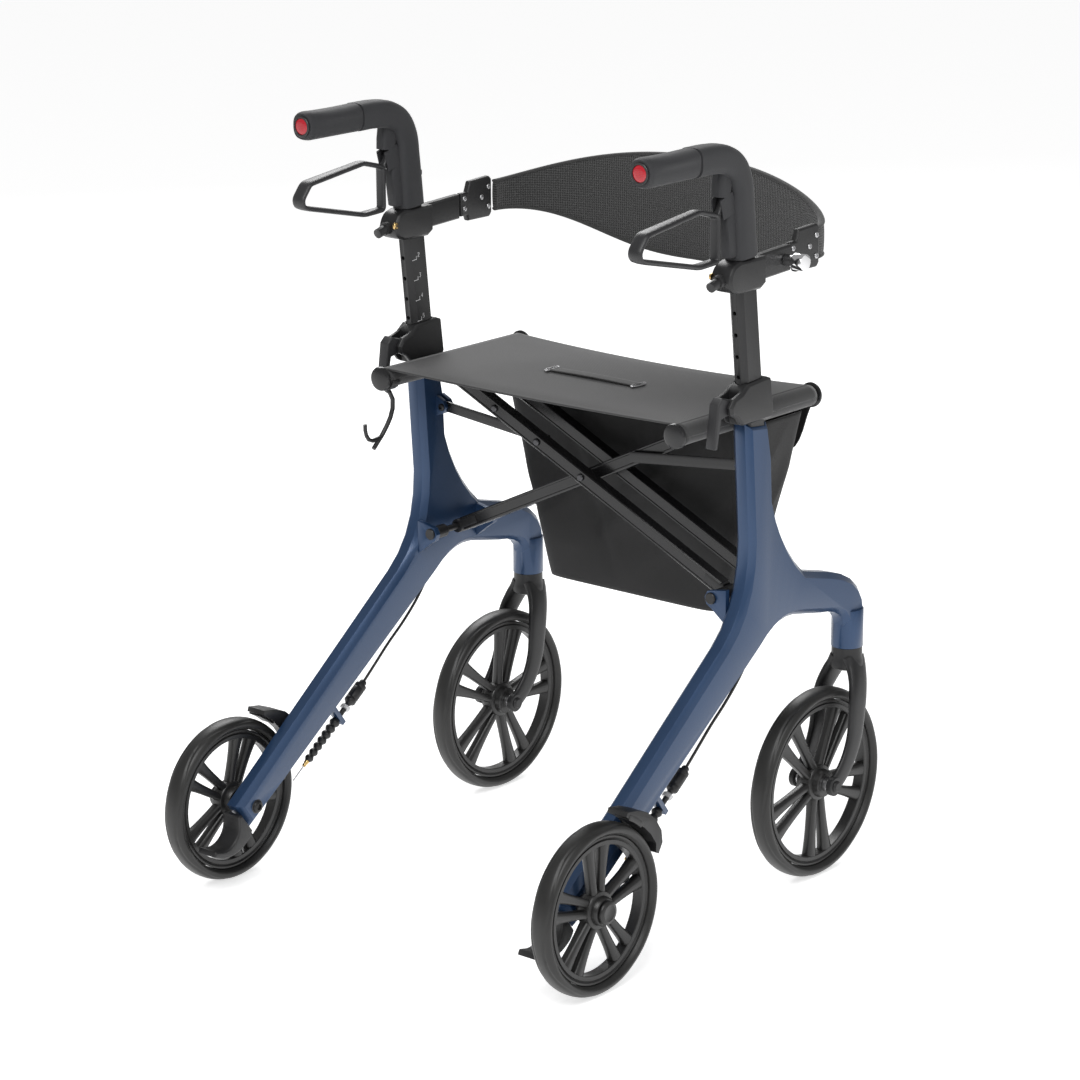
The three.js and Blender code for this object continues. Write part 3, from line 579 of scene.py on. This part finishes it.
def forkPiece(side, sign):
    x = plane * sign
    y = forks["steerY"]
    foot = forks["crownFoot"]
    body = f"fork_{side}"
    profile = [(0, 0), (17, 0), (20.5, 2), (21, 5), (19.8, 11), (18.8, 16), (18.6, 27.4), (0, 27.4)]
    lathe(f"fork_crown_{side}", profile, (x, y, foot), (0, 0, 1), blackCoat, body, (f"fork_{side}",))
    lathe(f"fork_stem_{side}", [(0, 0), (10, 0), (10, 50), (0, 50)], (x, y, foot + 21), (0, 0, 1), blackCoat, body,
          segments=24)
    # the blades leave the crown side by side, spread past the tyre and lean back to the axle
    line = [(9, y, 262), (14, 519, 251), (20, 515, 238), (25.5, 508.5, 220), (27.6, 504, 198), (28.2, 499, 170),
            (28.2, 486, 143), (27.6, 470, 125), (27.4, *frontAxle)]
    for out in (-1, 1):
        label = "outer" if out * sign > 0 else "inner"
        path = smoothPath([(x + out * away, *rest) for away, *rest in line], 32)
        t = np.linspace(0, 1, len(path))
        thick = forks["bladeThick"] + 7 * (1 - t)**4
        wide = forks["bladeWidth"] + 11 * (1 - t)**1.3 - 3.5 * t**4
        swept(f"fork_blade_{side}_{label}", path, sections(thick, wide, 3.0, 20), blackCoat, body)
        boss = [(0, 23.6), (10.5, 23.6), (12, 25), (12, 30.4), (10.6, 31.8), (0, 31.8)]
        lathe(f"fork_boss_{side}_{label}", boss, (x, *frontAxle), (out, 0, 0), blackCoat, body, segments=32,
              angle=40)


for side, sign in sides:
    forkPiece(side, sign)
print("forks ready")

handles = {"loopCorner": 5.0, "wing": 0.16, "gripWidth": 32.0, "gripHeight": 34.0, "gripZ": 905.5,
           "gripFront": 208.2, "gripRear": 119.4}


def postAxis(z):
    return 307.6 - 0.106 * (z - 727)  # the post leans back as it rises


def handleHousing(side, sign):
    # down the post, round the bend and back to the grip
    x = plane * sign
    body = f"handle_{side}"
    path = smoothPath([*((x, postAxis(z), z) for z in (786.5, 815, 848)), (x, 291.5, 872), (x, 281, 891),
                       (x, 262, 902), (x, 238, 905.2), (x, 208.6, 905.4)], 44)
    t = np.linspace(0, 1, len(path))
    wide = 29.5 + 4.4 * t
    deep = 36.5 - 3.0 * np.clip(t / 0.45, 0, 1)**1.5
    swept(f"handle_housing_{side}", path, sections(wide, deep, 3.4, 32), gripFoam, body,
          (f"handle_body_{side}",), angle=50)


def handleGrip(side, sign):
    # flattened on top for the palm, with a finger swell underneath
    x = plane * sign
    z = handles["gripZ"]
    body = f"handle_{side}"
    s = np.linspace(0, 1, 30)
    length = handles["gripFront"] - handles["gripRear"]
    path = np.stack([np.full(30, x), handles["gripFront"] - length * s, np.full(30, z)], -1)
    swell = 1 + 0.035 * np.sin(np.pi * s * 1.1) - 0.02 * np.sin(2 * np.pi * s)
    swell[-1] *= 0.9
    swell[-2] *= 0.975
    swell[0] *= 0.96
    base = roundedBox(handles["gripWidth"], handles["gripHeight"], 2.6, 48)
    profile = base[None] * np.minimum(swell, 1.0)[:, None, None]
    # the palm rest: the upper part is pressed flatter and drawn out to both sides towards the rear end
    rest = (handles["wing"] * np.sin(np.pi * np.clip(s * 1.15, 0, 1))**0.6)[:, None]
    upper = np.clip(profile[..., 1] / (handles["gripHeight"] / 2), 0, 1)
    profile[..., 0] *= 1 + rest * np.sin(np.pi * upper)**2
    profile[..., 1] *= 1 - 0.35 * rest * upper**3
    swept(f"grip_{side}_sleeve", path, profile, gripFoam, body, (f"grip_{side}",), angle=50)
    end = (x, handles["gripRear"] + 0.2, z)
    ring = [(9.6, 0), (12.6, 0), (12.6, -1.8), (11.8, -2.6), (10.2, -2.6), (9.6, -1.8)]
    lathe(f"reflector_bezel_{side}", ring, end, (0, 1, 0), blackPlastic, body, closed=True, angle=40)
    lens = [(0, 0), (9.4, 0), (9.4, -1.4), (7.5, -2.1), (4, -2.5), (0, -2.6)]
    lathe(f"reflector_{side}_lens", lens, end, (0, 1, 0), redLensPaintedGlow, body, (f"reflector_{side}",), angle=60)


def leverCarrier(side, sign):
    # behind the housing: an arm, two cheeks with an open slot between them, and a block round the lever
    x = plane * sign
    body = f"handle_{side}"
    path = [(x, 281, 893), (x, 266, 886), (x, 263.5, 872), (x, 262.5, 861), (x, 262.3, 859.5)]
    deep = 1.55 * np.array([16, 18, 15, 14, 14])
    swept(f"lever_carrier_{side}", path, sections(15.5, deep, 5, 24), gripFoam, body, angle=50)
    for lean in (-1, 1):
        label = "outer" if lean * sign > 0 else "inner"
        path = [(x + lean * 6.6, 264, 861), (x + lean * 6.6, 268, 850), (x + lean * 6.6, 271.5, 838)]
        swept(f"carrier_cheek_{side}_{label}", path, sections(2.4, (23, 25, 25), 6, 16), gripFoam, body, angle=50)
    path = [(x, 275, 845), (x, 276, 842), (x, 279, 815), (x, 281.5, 791), (x, 281.6, 789.5)]
    sizes = sections((13, 15.4, 15.4, 15.4, 14), (20, 22, 22, 20, 18), 6, 24)
    swept(f"lever_block_{side}", path, sizes, gripFoam, body, angle=50)
    # screws down the front corner of the housing
    for i, (forward, z) in enumerate(((16.5, 826), (12.5, 874))):
        bolt(f"housing_screw_{side}_{i}", (x + 10.5, postAxis(z) + forward, z), (0.75, 0.66, 0), 3.2, 0.9,
             blackCoat, body)


def brakeLoop(side, sign):
    # a closed loop: wide flat band, with rounded corners
    x = plane * sign
    body = f"brake_lever_{side}"
    corners = np.array([(253, 788), (219, 786.5), (121, 808.5), (112, 812), (110.5, 820.5), (124, 837),
                        (219, 849), (253, 840)], float)
    # each corner is replaced by a short curve between points on its two sides
    curves = []
    t = np.linspace(0, 1, 5)[:, None]
    for corner, after, before in zip(corners, np.roll(corners, -1, axis=0), np.roll(corners, 1, axis=0)):
        start, end = (corner + (other - corner) * min(0.45, handles["loopCorner"] / np.linalg.norm(other - corner))
                      for other in (before, after))
        curves.append((1 - t)**2 * start + 2 * t * (1 - t) * corner + t**2 * end)
    loop = np.concatenate(curves)
    path = np.stack([np.full(len(loop), x), loop[:, 0], loop[:, 1]], -1)
    wide = 13.5 + 5.5 * np.clip((250 - loop[:, 0]) / 130, 0, 1)
    swept(f"brake_loop_{side}", path, sections(wide, 6.2, 3.2, 16), leverPlastic, body,
          (f"brake_lever_{side}",), closed=True)
    arm = smoothPath([(x, 257, 838), (x, 262, 847), (x, 266, 856.5)], 8)
    swept(f"brake_pivot_arm_{side}", arm, roundedBox(9.6, 8.0, 3.0, 16), leverPlastic, body)


for side, sign in sides:
    handleHousing(side, sign)
    handleGrip(side, sign)
    leverCarrier(side, sign)
    brakeLoop(side, sign)
print("handles ready")

hinges = {"outer": 255.5, "inner": 246.5, "screw": 3.4,
          "screwPlaces": [(396.5, 781.0), (397.0, 768.5), (441.5, 790.0), (428.5, 778.5), (441.5, 765.5)]}
marks = {"x": 243.1, "size": 0.85, "stroke": (0.3, 0.85),
         "places": [("2", 296.0, 719.5), ("3", 298.6, 694.0), ("4", 301.2, 668.8), ("5", 303.9, 642.8)]}
digits = {"2": [(0, 5), (1.5, 6), (3, 5), (3, 4), (0, 0), (3, 0)],
          "3": [(0, 6), (3, 6), (1.5, 3.6), (3, 2), (1.5, 0), (0, 0.6)],
          "4": [(2.4, 0), (2.4, 6), (0, 2), (3.4, 2)],
          "5": [(3, 6), (0.3, 6), (0, 3.4), (2.4, 3.6), (3, 1.8), (1.6, 0), (0, 0.4)]}


def heightMarks(side, sign):
    # numbers and short lines on the inner face of the post
    strokes = []
    for label, y, z in marks["places"]:
        strokes.append(np.array([(y, z), (y + 8, z + 0.8)]))
        strokes.append(np.array([(y + 7, z + 0.7), (y + 7, z + 5.0)]))
        strokes.append(marks["size"] * np.array(digits[label]) + (y + 9.6, z + 3.4))
    paths = [np.insert(stroke, 0, marks["x"] * sign, axis=1) for stroke in strokes]
    lines = [carried(path, roundedBox(*marks["stroke"], 4, 8)) for path in paths]
    makePiece(f"height_marks_{side}", *joined(lines), whiteInk, f"handle_{side}", angle=60)


for side, sign in sides:
    body = f"handle_{side}"
    for i, (y, z) in enumerate(hinges["screwPlaces"]):
        for face, out in (("outer", 1), ("inner", -1)):
            bolt(f"hinge_screw_{side}_{i}_{face}", (hinges[face] * sign, y, z), (out * sign, 0, 0),
                 hinges["screw"], 1.5, steel, body)
    heightMarks(side, sign)
    bolt(f"bracket_bolt_{side}", (240.5 * sign, 264, 767.5), (-sign, 0, 0), 4.2, 2.2, brass, body)
print("backrest fittings ready")

cables = {"sheath": 2.1, "ribs": 7, "ribHeight": 2.2, "top": (206.0, 203.5), "foot": (102.0, 127.0),
          "bootStart": 62.8, "bootEnd": 129.1}
cableLine = np.array(cables["foot"]) - cables["top"]
cableLine /= np.linalg.norm(cableLine)


def cableRun(side, sign):
    # out of the side frame in a slack curve, then straight down the line to the brake arm
    x = plane * sign
    body = f"{side}_frame"

    def onLine(distance):
        return (x, *(cables["top"] + cableLine * distance))

    def fitting(name, profile, distance, finish, stands=(), segments=24, angle=35):
        lathe(name, profile, onLine(distance), (0, *cableLine), finish, body, stands, segments, angle=angle)

    slack = [(322, 307), (306, 288), (280, 264), (250, 241), (226, 220.5), (206.5, 204)]
    tube(f"brake_cable_{side}_sheath", smoothPath([(x, *spot) for spot in slack], 30), cables["sheath"] * 0.85,
         sheathPlastic, body, (f"brake_cable_{side}",))
    barrel = [(0, 0), (3.6, 0), (4.6, 1.5), (4.6, 5.5), (7.2, 6.4), (7.5, 8), (7.5, 11), (6.9, 12), (7.5, 13),
              (7.5, 27), (6.9, 28), (7.5, 29), (7.5, 33), (6.6, 34.5), (5, 35.5), (3.3, 38), (3.3, 56), (0, 56)]
    fitting(f"cable_adjuster_{side}_barrel", barrel, 0, blackPlastic, (f"cable_adjuster_{side}",))
    nut = [(0, 40), (5.6, 40), (6.2, 41), (6.2, 45), (5.6, 46), (0, 46)]
    fitting(f"adjuster_nut_{side}", nut, 0, steel, segments=6, angle=20)
    # the boot: ribs that swell and sink along a slim cone
    length = cables["bootEnd"] - cables["bootStart"]
    s = np.linspace(0, 1, 24 * cables["ribs"])
    rib = 4.6 - 1.4 * s + cables["ribHeight"] * (0.5 - 0.5 * np.cos(2 * np.pi * cables["ribs"] * s)) ** 0.7
    bellows = np.stack([np.pad(rib, 1), np.concatenate([[0], s * length, [length]])], -1)
    fitting(f"cable_boot_{side}_bellows", bellows, cables["bootStart"], blackPlastic, (f"cable_boot_{side}",),
            angle=60)
    ferrule = [(0, 0), (3.0, 0), (3.0, 3), (2.4, 4), (2.4, 8), (0, 8)]
    fitting(f"cable_ferrule_{side}", ferrule, cables["bootEnd"], brass, segments=20)
    tube(f"brake_wire_{side}", [onLine(136), onLine(150), onLine(160)], 0.8, steel, body, sides=8)


for side, sign in sides:
    cableRun(side, sign)
print("cables ready")

braces = {"height": 17.0, "lip": 1.0, "foot": (218.6, 379.1), "top": (225.5, 589.3), "linkReach": 76}
footX, footZ = braces["foot"]
tubeX, tubeZ = braces["top"]  # the seat tubes' axes
crossing = footZ + footX * (tubeZ - footZ) / (footX + tubeX)
slopeX, slopeZ = unit(np.array((footX + tubeX, tubeZ - footZ)))


def onBar(distance, lean=1):
    # x and z at a distance up from the crossing, on the bar that leans that way
    return lean * distance * slopeX, crossing + distance * slopeZ


def flatBar(name, sign, yRear, yFront, body, stands):
    # a drawn bar: flat faces with a raised rib along both edges and rounded corners
    middle = (yRear + yFront) / 2
    start = np.array((sign * footX, middle, footZ))
    end = np.array((-sign * tubeX, middle, tubeZ))
    direction = unit(end - start)
    length = np.linalg.norm(end - start) - 13.3
    h = braces["height"] / 2
    d = (yFront - yRear) / 2
    k = braces["lip"]
    profile = [(-d + 1, -h), (d - 1, -h), (d, -h + 1), (d, -h + 2.6), (d - k, -h + 3.4), (d - k, h - 3.4),
               (d, h - 2.6), (d, h - 1), (d - 1, h), (-d + 1, h), (-d, h - 1), (-d, h - 2.6), (-d + k, h - 3.4),
               (-d + k, -h + 3.4), (-d, -h + 2.6), (-d, -h + 1)]
    path = start + direction * np.array([10, 14, length * 0.5, length - 2, length])[:, None]
    swept(name, path, profile, glossCoat, body, stands, angle=30, side=(0, 1, 0))
    # moulded eye and shoe at the foot
    eye = [(4.7, -d), (8.2, -d), (8.5, -d + 1), (8.5, d - 1), (8.2, d), (4.7, d)]
    lathe(f"{name}_eye", eye, start, (0, 1, 0), blackPlastic, body, segments=32, closed=True, angle=40)
    path = start + direction * np.array([6.5, 20, 34])[:, None]
    swept(f"{name}_shoe", path, roundedBox(2 * d - 0.6, 2 * h - 0.4, 5, 24), blackPlastic, body, angle=40,
          side=(0, 1, 0))


def seatTube(side, sign):
    profile = [(0, 213.2), (11.5, 213.2), (14, 214.4), (15, 216.4), (15, 218.4), (12, 219.4), (10.4, 219.8),
               (10.4, 474.2), (12, 474.6), (15, 475.6), (15, 477.8), (14, 479.6), (11.5, 480.8), (0, 480.8)]
    lathe(f"seat_tube_{side}_rod", profile, (tubeX * sign, 0, tubeZ), (0, 1, 0), glossCoat,
          "brace_b" if side == "right" else "brace_a", (f"seat_tube_{side}",), segments=40)


def footPin(side, sign):
    profile = [(0, 292), (6.2, 292), (7, 293), (7, 294.7), (4, 294.8), (4, 302.4), (7.4, 302.6), (8, 303.4),
               (8, 319.6), (7.4, 320.4), (4, 320.6), (4, 413), (0, 413)]
    lathe(f"brace_pin_{side}_bolt", profile, (footX * sign, 0, footZ), (0, 1, 0), blackCoat, f"{side}_frame",
          (f"brace_pin_{side}",), segments=28)


def upperLink(side, sign):
    start = np.array((230 * sign, 339, 531.9))
    endX, endZ = onBar(braces["linkReach"], sign)
    end = np.array((endX, 339, endZ))
    path = [start + (end - start) * s for s in (-0.03, 0.0, 0.5, 1.0, 1.035)]
    swept(f"upper_link_{side}_blade", path, roundedBox(2.9, 13, 8, 20), glossCoat, f"upper_link_{side}",
          (f"upper_link_{side}",), angle=40, side=(0, 1, 0))
    bolt(f"link_bolt_{side}", start - (0, 8.2, 0), (0, -1, 0), 4.6, 2.2, blackCoat, f"{side}_frame")


flatBar("brace_a_rear_bar", 1, 321, 337, "brace_a", ("brace_a_rear",))
flatBar("brace_a_front_bar", 1, 386, 402, "brace_a", ("brace_a_front",))
flatBar("brace_b_bar", -1, 343.5, 378, "brace_b", ("brace_b",))
rivets = [("brace_a", 0, -1, 321), ("brace_a", 76, -1, 321), ("brace_b", 76, 1, 343), ("brace_a", 150, -1, 321)]
for i, (body, distance, lean, y) in enumerate(rivets):
    x, z = onBar(distance, lean)
    bolt(f"brace_rivet_{i}", (x, y, z), (0, -1, 0), 4.6, 1.8, darkSteel, body, socket=False)
for side, sign in sides:
    seatTube(side, sign)
    footPin(side, sign)
    upperLink(side, sign)
print("braces ready")

seatCut = {"sag": 3.5, "rear": 222.0, "front": 472.0, "rearBow": 8.0, "frontBow": 2.0, "sleeve": 12.0,
           "thick": 0.0014, "across": 96, "along": 60, "strapY": 349, "ringX": 66.5}
seatFold = {"axis": (1, 0, 0), "anchor": tuple(place((-tubeX, 340, tubeZ))), "keep": 0.2887}


def seatHeight(x):
    # a shallow hanging curve from the top of one tube to the top of the other
    return tubeZ + seatCut["sleeve"] - seatCut["sag"] * (1 - (x / tubeX)**2)


def seatSling():
    # along: straight threads whose ends bow in between the tubes and dip over the hem
    u = np.linspace(-1, 1, seatCut["across"])[None]
    v = np.linspace(0, 1, seatCut["along"])[:, None]
    inner = 1 - u**2
    rear = seatCut["rear"] + seatCut["rearBow"] * inner
    front = seatCut["front"] - seatCut["frontBow"] * inner
    y = rear + (front - rear) * v
    x = tubeX * u + 0 * y
    dip = 2.2 * np.exp(-(v / 0.06)**2) + 2.2 * np.exp(-((v - 1.0) / 0.06)**2)
    z = seatHeight(x) - dip * inner
    faces = ringFaces(*x.shape, closedRound=False, caps=False)
    uv = np.stack([x / 1000, y / 1000], -1)
    obj = makePiece("seat_sling", np.stack([x, y, z], -1), faces, seatCloth, "seat", ("seat",), uv=uv, angle=180)
    thicken(obj, seatCut["thick"])
    sleeves = [seatSleeve("left", -1, "seat"), seatSleeve("right", 1, "brace_b")]
    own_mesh(obj)


def seatSleeve(label, sign, body):
    # the sling's sewn loop round one tube
    turn = np.linspace(0, 2 * np.pi, 48, endpoint=False)
    r = seatCut["sleeve"]
    y = np.linspace(seatCut["rear"], seatCut["front"], 40)[:, None] + 0 * turn
    x = sign * tubeX + r * np.cos(turn) + 0 * y
    z = tubeZ + r * np.sin(turn) + 0 * y
    uv = np.stack([turn[None] * r / 1000 + 0 * y, y / 1000], -1)
    obj = makePiece(f"seat_sleeve_{label}", np.stack([x, y, z], -1), ringFaces(*x.shape, caps=False), seatCloth,
                    body, uv=uv, angle=180)
    thicken(obj, seatCut["thick"])
    return obj


def seatFittings():
    # a wire ring near each end of the pull strap, lying on the seat
    turn = np.linspace(0, 2 * np.pi, 40, endpoint=False)
    for label, x in (("left", -seatCut["ringX"]), ("right", seatCut["ringX"])):
        path = np.stack([x + 3.2 * np.cos(turn), seatCut["strapY"] + 12.5 * np.sin(turn),
                         seatHeight(x) + 2.9 + 0 * turn], -1)
        ring = swept(f"strap_ring_{label}", path, circle(1.5, 10), steel, "seat", side=(0, 0, 1), closed=True)
        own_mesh(ring)
    # the strap itself: a flat band between the rings
    x = np.linspace(-66, 66, 25)
    lift = 2.8 + 1.4 * np.sin(np.pi * (x + 66) / 132)
    path = np.stack([x, seatCut["strapY"] + 0 * x, seatHeight(x) + lift], -1)
    points = carried(path, roundedBox(17.0, 1.9, 5, 20), side=(0, 1, 0))
    uv = np.stack(np.broadcast_arrays(x[:, None] / 1000, points[..., 1] / 1000), -1)
    band = makePiece("pull_strap_band", points, ringFaces(*points.shape[:2]), pipingCloth, "seat",
                     ("seat_pull_strap",), uv=uv, angle=50)
    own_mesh(band)


seatSling()
seatFittings()
print("seat ready")

strapCut = {"half": 246.0, "depth": 92.0, "rear": 452.0, "thick": 7.0, "piping": 2.4}
strapFold = {"axis": (1, 0, 0), "anchor": tuple(place((251, 440, 780))), "keep": 0.385}


def backrestStrap():
    # plan curve: half an ellipse from one hinge to the other
    s = np.linspace(np.pi, 0, 120)
    x = strapCut["half"] * np.cos(s)
    y = strapCut["rear"] + strapCut["depth"] * np.sin(s)
    share = np.abs(x) / strapCut["half"]
    top = 840 - 44 * share**2.2
    bottom = 714 + 46 * np.sin(np.pi / 2 * share)**3
    # a slim padded section: full in the middle of its height, pinched at its two bound edges
    q = np.linspace(0, 2 * np.pi, 40, endpoint=False)
    height = np.sin(q)
    fullness = np.sign(np.cos(q)) * np.abs(np.cos(q))**0.45
    out = unit(np.stack([np.cos(s) / strapCut["half"], np.sin(s) / strapCut["depth"]], -1))
    thick = strapCut["thick"] / 2
    px = x[:, None] + out[:, :1] * fullness * thick
    py = y[:, None] + out[:, 1:] * fullness * thick
    middle, half = (top + bottom) / 2, (top - bottom) / 2
    pz = middle[:, None] + half[:, None] * np.sign(height) * np.abs(height)**0.9
    reach = np.concatenate([[0], np.cumsum(np.hypot(np.diff(x), np.diff(y)))])
    uv = np.stack(np.broadcast_arrays(reach[:, None] / 1000, pz / 1000), -1)
    obj = makePiece("backrest_pad", np.stack([px, py, pz], -1), ringFaces(*px.shape), meshCloth, "handle_right",
                    ("backrest_strap",), uv=uv, angle=80)
    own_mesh(obj)
    # a folded tape binds each edge
    turn = np.linspace(0, 2 * np.pi, 12, endpoint=False)
    profile = circle(1, 12) * (strapCut["piping"], thick + 0.6)
    uv = np.stack(np.broadcast_arrays(reach[:, None] / 1000, turn * 0.002), -1)
    for label, edge in (("top", top - 0.6), ("bottom", bottom + 0.6)):
        binding = swept(f"backrest_binding_{label}", np.stack([x, y, edge], -1), profile, pipingCloth,
                        "handle_right", angle=80, side=(0, 0, 1), uv=uv)
        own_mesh(binding)


backrestStrap()
print("backrest ready")

bagCut = {"top": 562.0, "bottom": 317.0, "topHalf": 200.0, "bottomHalf": 133.0, "rear": 410.0, "front": 506.0,
          "flapHalf": 203.0, "flapDrop": 60.0, "wall": 0.0016, "flap": 0.0014, "width": 0.60}
bagFold = {"axis": (1, 0, 0), "anchor": tuple(place((0, 440, 480))), "keep": 0.24}


def bagShell():
    # sections are rounded rectangles that narrow downwards; the walls hang in soft folds
    rows, columns = 60, 160
    v = np.linspace(0, 1, rows)[:, None]
    turn = np.linspace(0, 2 * np.pi, columns, endpoint=False)[None]
    c, s = np.cos(turn), np.sin(turn)
    scale = (np.abs(c)**9 + np.abs(s)**9) ** (-1 / 9)
    halfX = bagCut["topHalf"] + (bagCut["bottomHalf"] - bagCut["topHalf"]) * v**1.1
    depth = (bagCut["front"] - bagCut["rear"]) / 2
    middleY = (bagCut["front"] + bagCut["rear"]) / 2
    x = halfX * c * scale
    y = middleY + depth * (1 - 0.1 * v**2) * s * scale
    z = bagCut["top"] + (bagCut["bottom"] - bagCut["top"]) * v + 0 * turn
    hung = np.sin(np.pi * np.clip(v * 1.05, 0, 1))
    # the folds: slanting waves and two sharper creases, which fade out towards the corners
    fold = np.sin(0.05 * x + 4.5 * v) * 1.5 + np.sin(0.023 * x - 7.0 * v + 1) * 2.0
    fold += np.abs(np.sin(0.031 * x + 9 * v - 2)) * 3.4
    fold += 3.4 * np.exp(-((x - 40 + 130 * v) / 12)**2) + 3.2 * np.exp(-((x + 110 - 90 * v) / 9)**2)
    y = y - np.abs(fold) * hung * np.sign(s) * np.clip((np.abs(s * scale) - 0.75) * 4, 0, 1)
    ends = np.clip((np.abs(c * scale) - 0.85) * 6.6, 0, 1)
    x = x - 2.5 * hung * np.sign(c) * np.abs(np.sin(0.06 * y + 6 * v)) * ends
    # the floor: rows that close in to the middle
    inwards = np.linspace(0.9, 0.0, 10)[:, None]
    floorX = x[-1:] * inwards
    floorY = middleY + (y[-1:] - middleY) * inwards
    floorZ = bagCut["bottom"] + 0 * floorX
    points = np.concatenate([np.stack([x, y, z], -1), np.stack([floorX, floorY, floorZ], -1)])
    girth = turn * 95 / 1000 + 0 * v
    uv = np.concatenate([np.stack([girth, z / 1000], -1), np.stack([floorX / 1000, floorY / 1000], -1)])
    faces = ringFaces(*points.shape[:2], caps=False)
    obj = makePiece("bag_shell", points, faces, bagCloth, "bag", ("bag",), uv=uv, angle=180)
    thicken(obj, bagCut["wall"])
    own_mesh(obj)
    work = bmesh.new()
    work.from_mesh(obj.data)
    area = sum(face.calc_area() for face in work.faces)
    work.free()
    area / bagCut["width"]
    bagFlap()


def bagFlap():
    # a flap over the front of the opening, its lower corners rounded
    u = np.linspace(-1, 1, 70)[:, None]
    v = np.linspace(0, 1, 26)[None]
    x = bagCut["flapHalf"] * u * (1 - 0.035 * v)
    drop = bagCut["flapDrop"] * (1 - 0.75 * np.clip((np.abs(u) - 0.86) / 0.14, 0, 1)**2.2)
    z = bagCut["top"] + 5.0 - drop * np.clip((v - 0.15) / 0.85, 0, 1)
    wave = 0.9 * np.sin(0.05 * x + 1) * v + 0.6 * np.sin(0.11 * x)
    over = np.clip(v / 0.15, 0, 1)  # the short way over the rim, before the flap hangs down
    y = bagCut["front"] - 10 + 14.2 * over**0.7 + wave * over
    points = np.stack(np.broadcast_arrays(x, y, z), -1)
    uv = np.stack(np.broadcast_arrays(x / 1000, (z - y) / 1000), -1)
    faces = ringFaces(*points.shape[:2], closedRound=False, caps=False)
    flap = makePiece("bag_flap", points, faces, bagCloth, "bag", uv=uv, angle=180)
    thicken(flap, bagCut["flap"])
    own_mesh(flap)
    return flap


def bagHooks():
    # bent wire hooks that hold the bag's rim below the seat tubes
    bends = [(186, 548), (190, 560), (200, 572), (209, 581), (212, 588)]
    for side, sign in sides:
        for label, y in (("rear", 418), ("front", 496)):
            path = smoothPath([(sign * x, y, z) for x, z in bends], 14)
            wire = tube(f"bag_hook_{label}_{side}", path, 1.3, steel, "bag", sides=10)
            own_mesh(wire)


bagShell()
bagHooks()
print("bag ready")

# what is left of the frame's own solids
for node, finish, width in (("cane_hook", blackPlastic, 0.5), ("release_pin", chrome, 0.8)):
    refined(node, finish, node, width)
print("small pieces ready")

stage = {"floor": (0.9, 0.9, 0.9), "glow": 0.62, "backdrop": 1.05, "world": 0.36, "half": 30,
         "key": {"spot": (1.2, -2.2, 3.2), "width": 2.0, "power": 82},
         "fill": {"spot": (3.2, -0.3, 1.6), "width": 2.0, "power": 10},
         "rim": {"spot": (-2.2, 1.8, 2.6), "width": 1.6, "power": 52}}


def makeStage():
    finish = bpy.data.materials.new("paleFloor")
    finish.use_nodes = True
    shader = finish.node_tree.nodes["Principled BSDF"]
    shader.inputs["Base Color"].default_value = (*stage["floor"], 1)
    shader.inputs["Roughness"].default_value = 0.9
    shader.inputs["Emission Color"].default_value = (1, 1, 1, 1)
    shader.inputs["Emission Strength"].default_value = stage["glow"]
    mesh = bpy.data.meshes.new("floor")
    corners = [(x * stage["half"], y * stage["half"], -0.0005) for x, y in ((-1, -1), (1, -1), (1, 1), (-1, 1))]
    mesh.from_pydata(corners, [], [(0, 1, 2, 3)])
    mesh.materials.append(finish)
    floor = bpy.data.objects.new("floor", mesh)
    scene.collection.objects.link(floor)
    world = bpy.data.worlds.new("softSky")
    world.use_nodes = True
    tree = world.node_tree
    sky = tree.nodes["Background"]
    sky.inputs["Color"].default_value = (1, 1, 1, 1)
    rays = tree.nodes.new("ShaderNodeLightPath")
    # plain white behind the object, a softer white as light
    blend = tree.nodes.new("ShaderNodeMapRange")
    blend.inputs["To Min"].default_value = stage["world"]
    blend.inputs["To Max"].default_value = stage["backdrop"]
    tree.links.new(rays.outputs["Is Camera Ray"], blend.inputs["Value"])
    tree.links.new(blend.outputs["Result"], sky.inputs["Strength"])
    scene.world = world
    for name in ("key", "fill", "rim"):
        lampCut = stage[name]
        data = bpy.data.lights.new(name, "AREA")
        data.size = lampCut["width"]
        data.energy = lampCut["power"]
        lamp = bpy.data.objects.new(name, data)
        lamp.location = lampCut["spot"]
        lamp.rotation_euler = (Vector((0, 0, 0.45)) - lamp.location).to_track_quat("-Z", "Y").to_euler()
        scene.collection.objects.link(lamp)
    scene.view_settings.view_transform = "Standard"


makeStage()
print("stage ready")
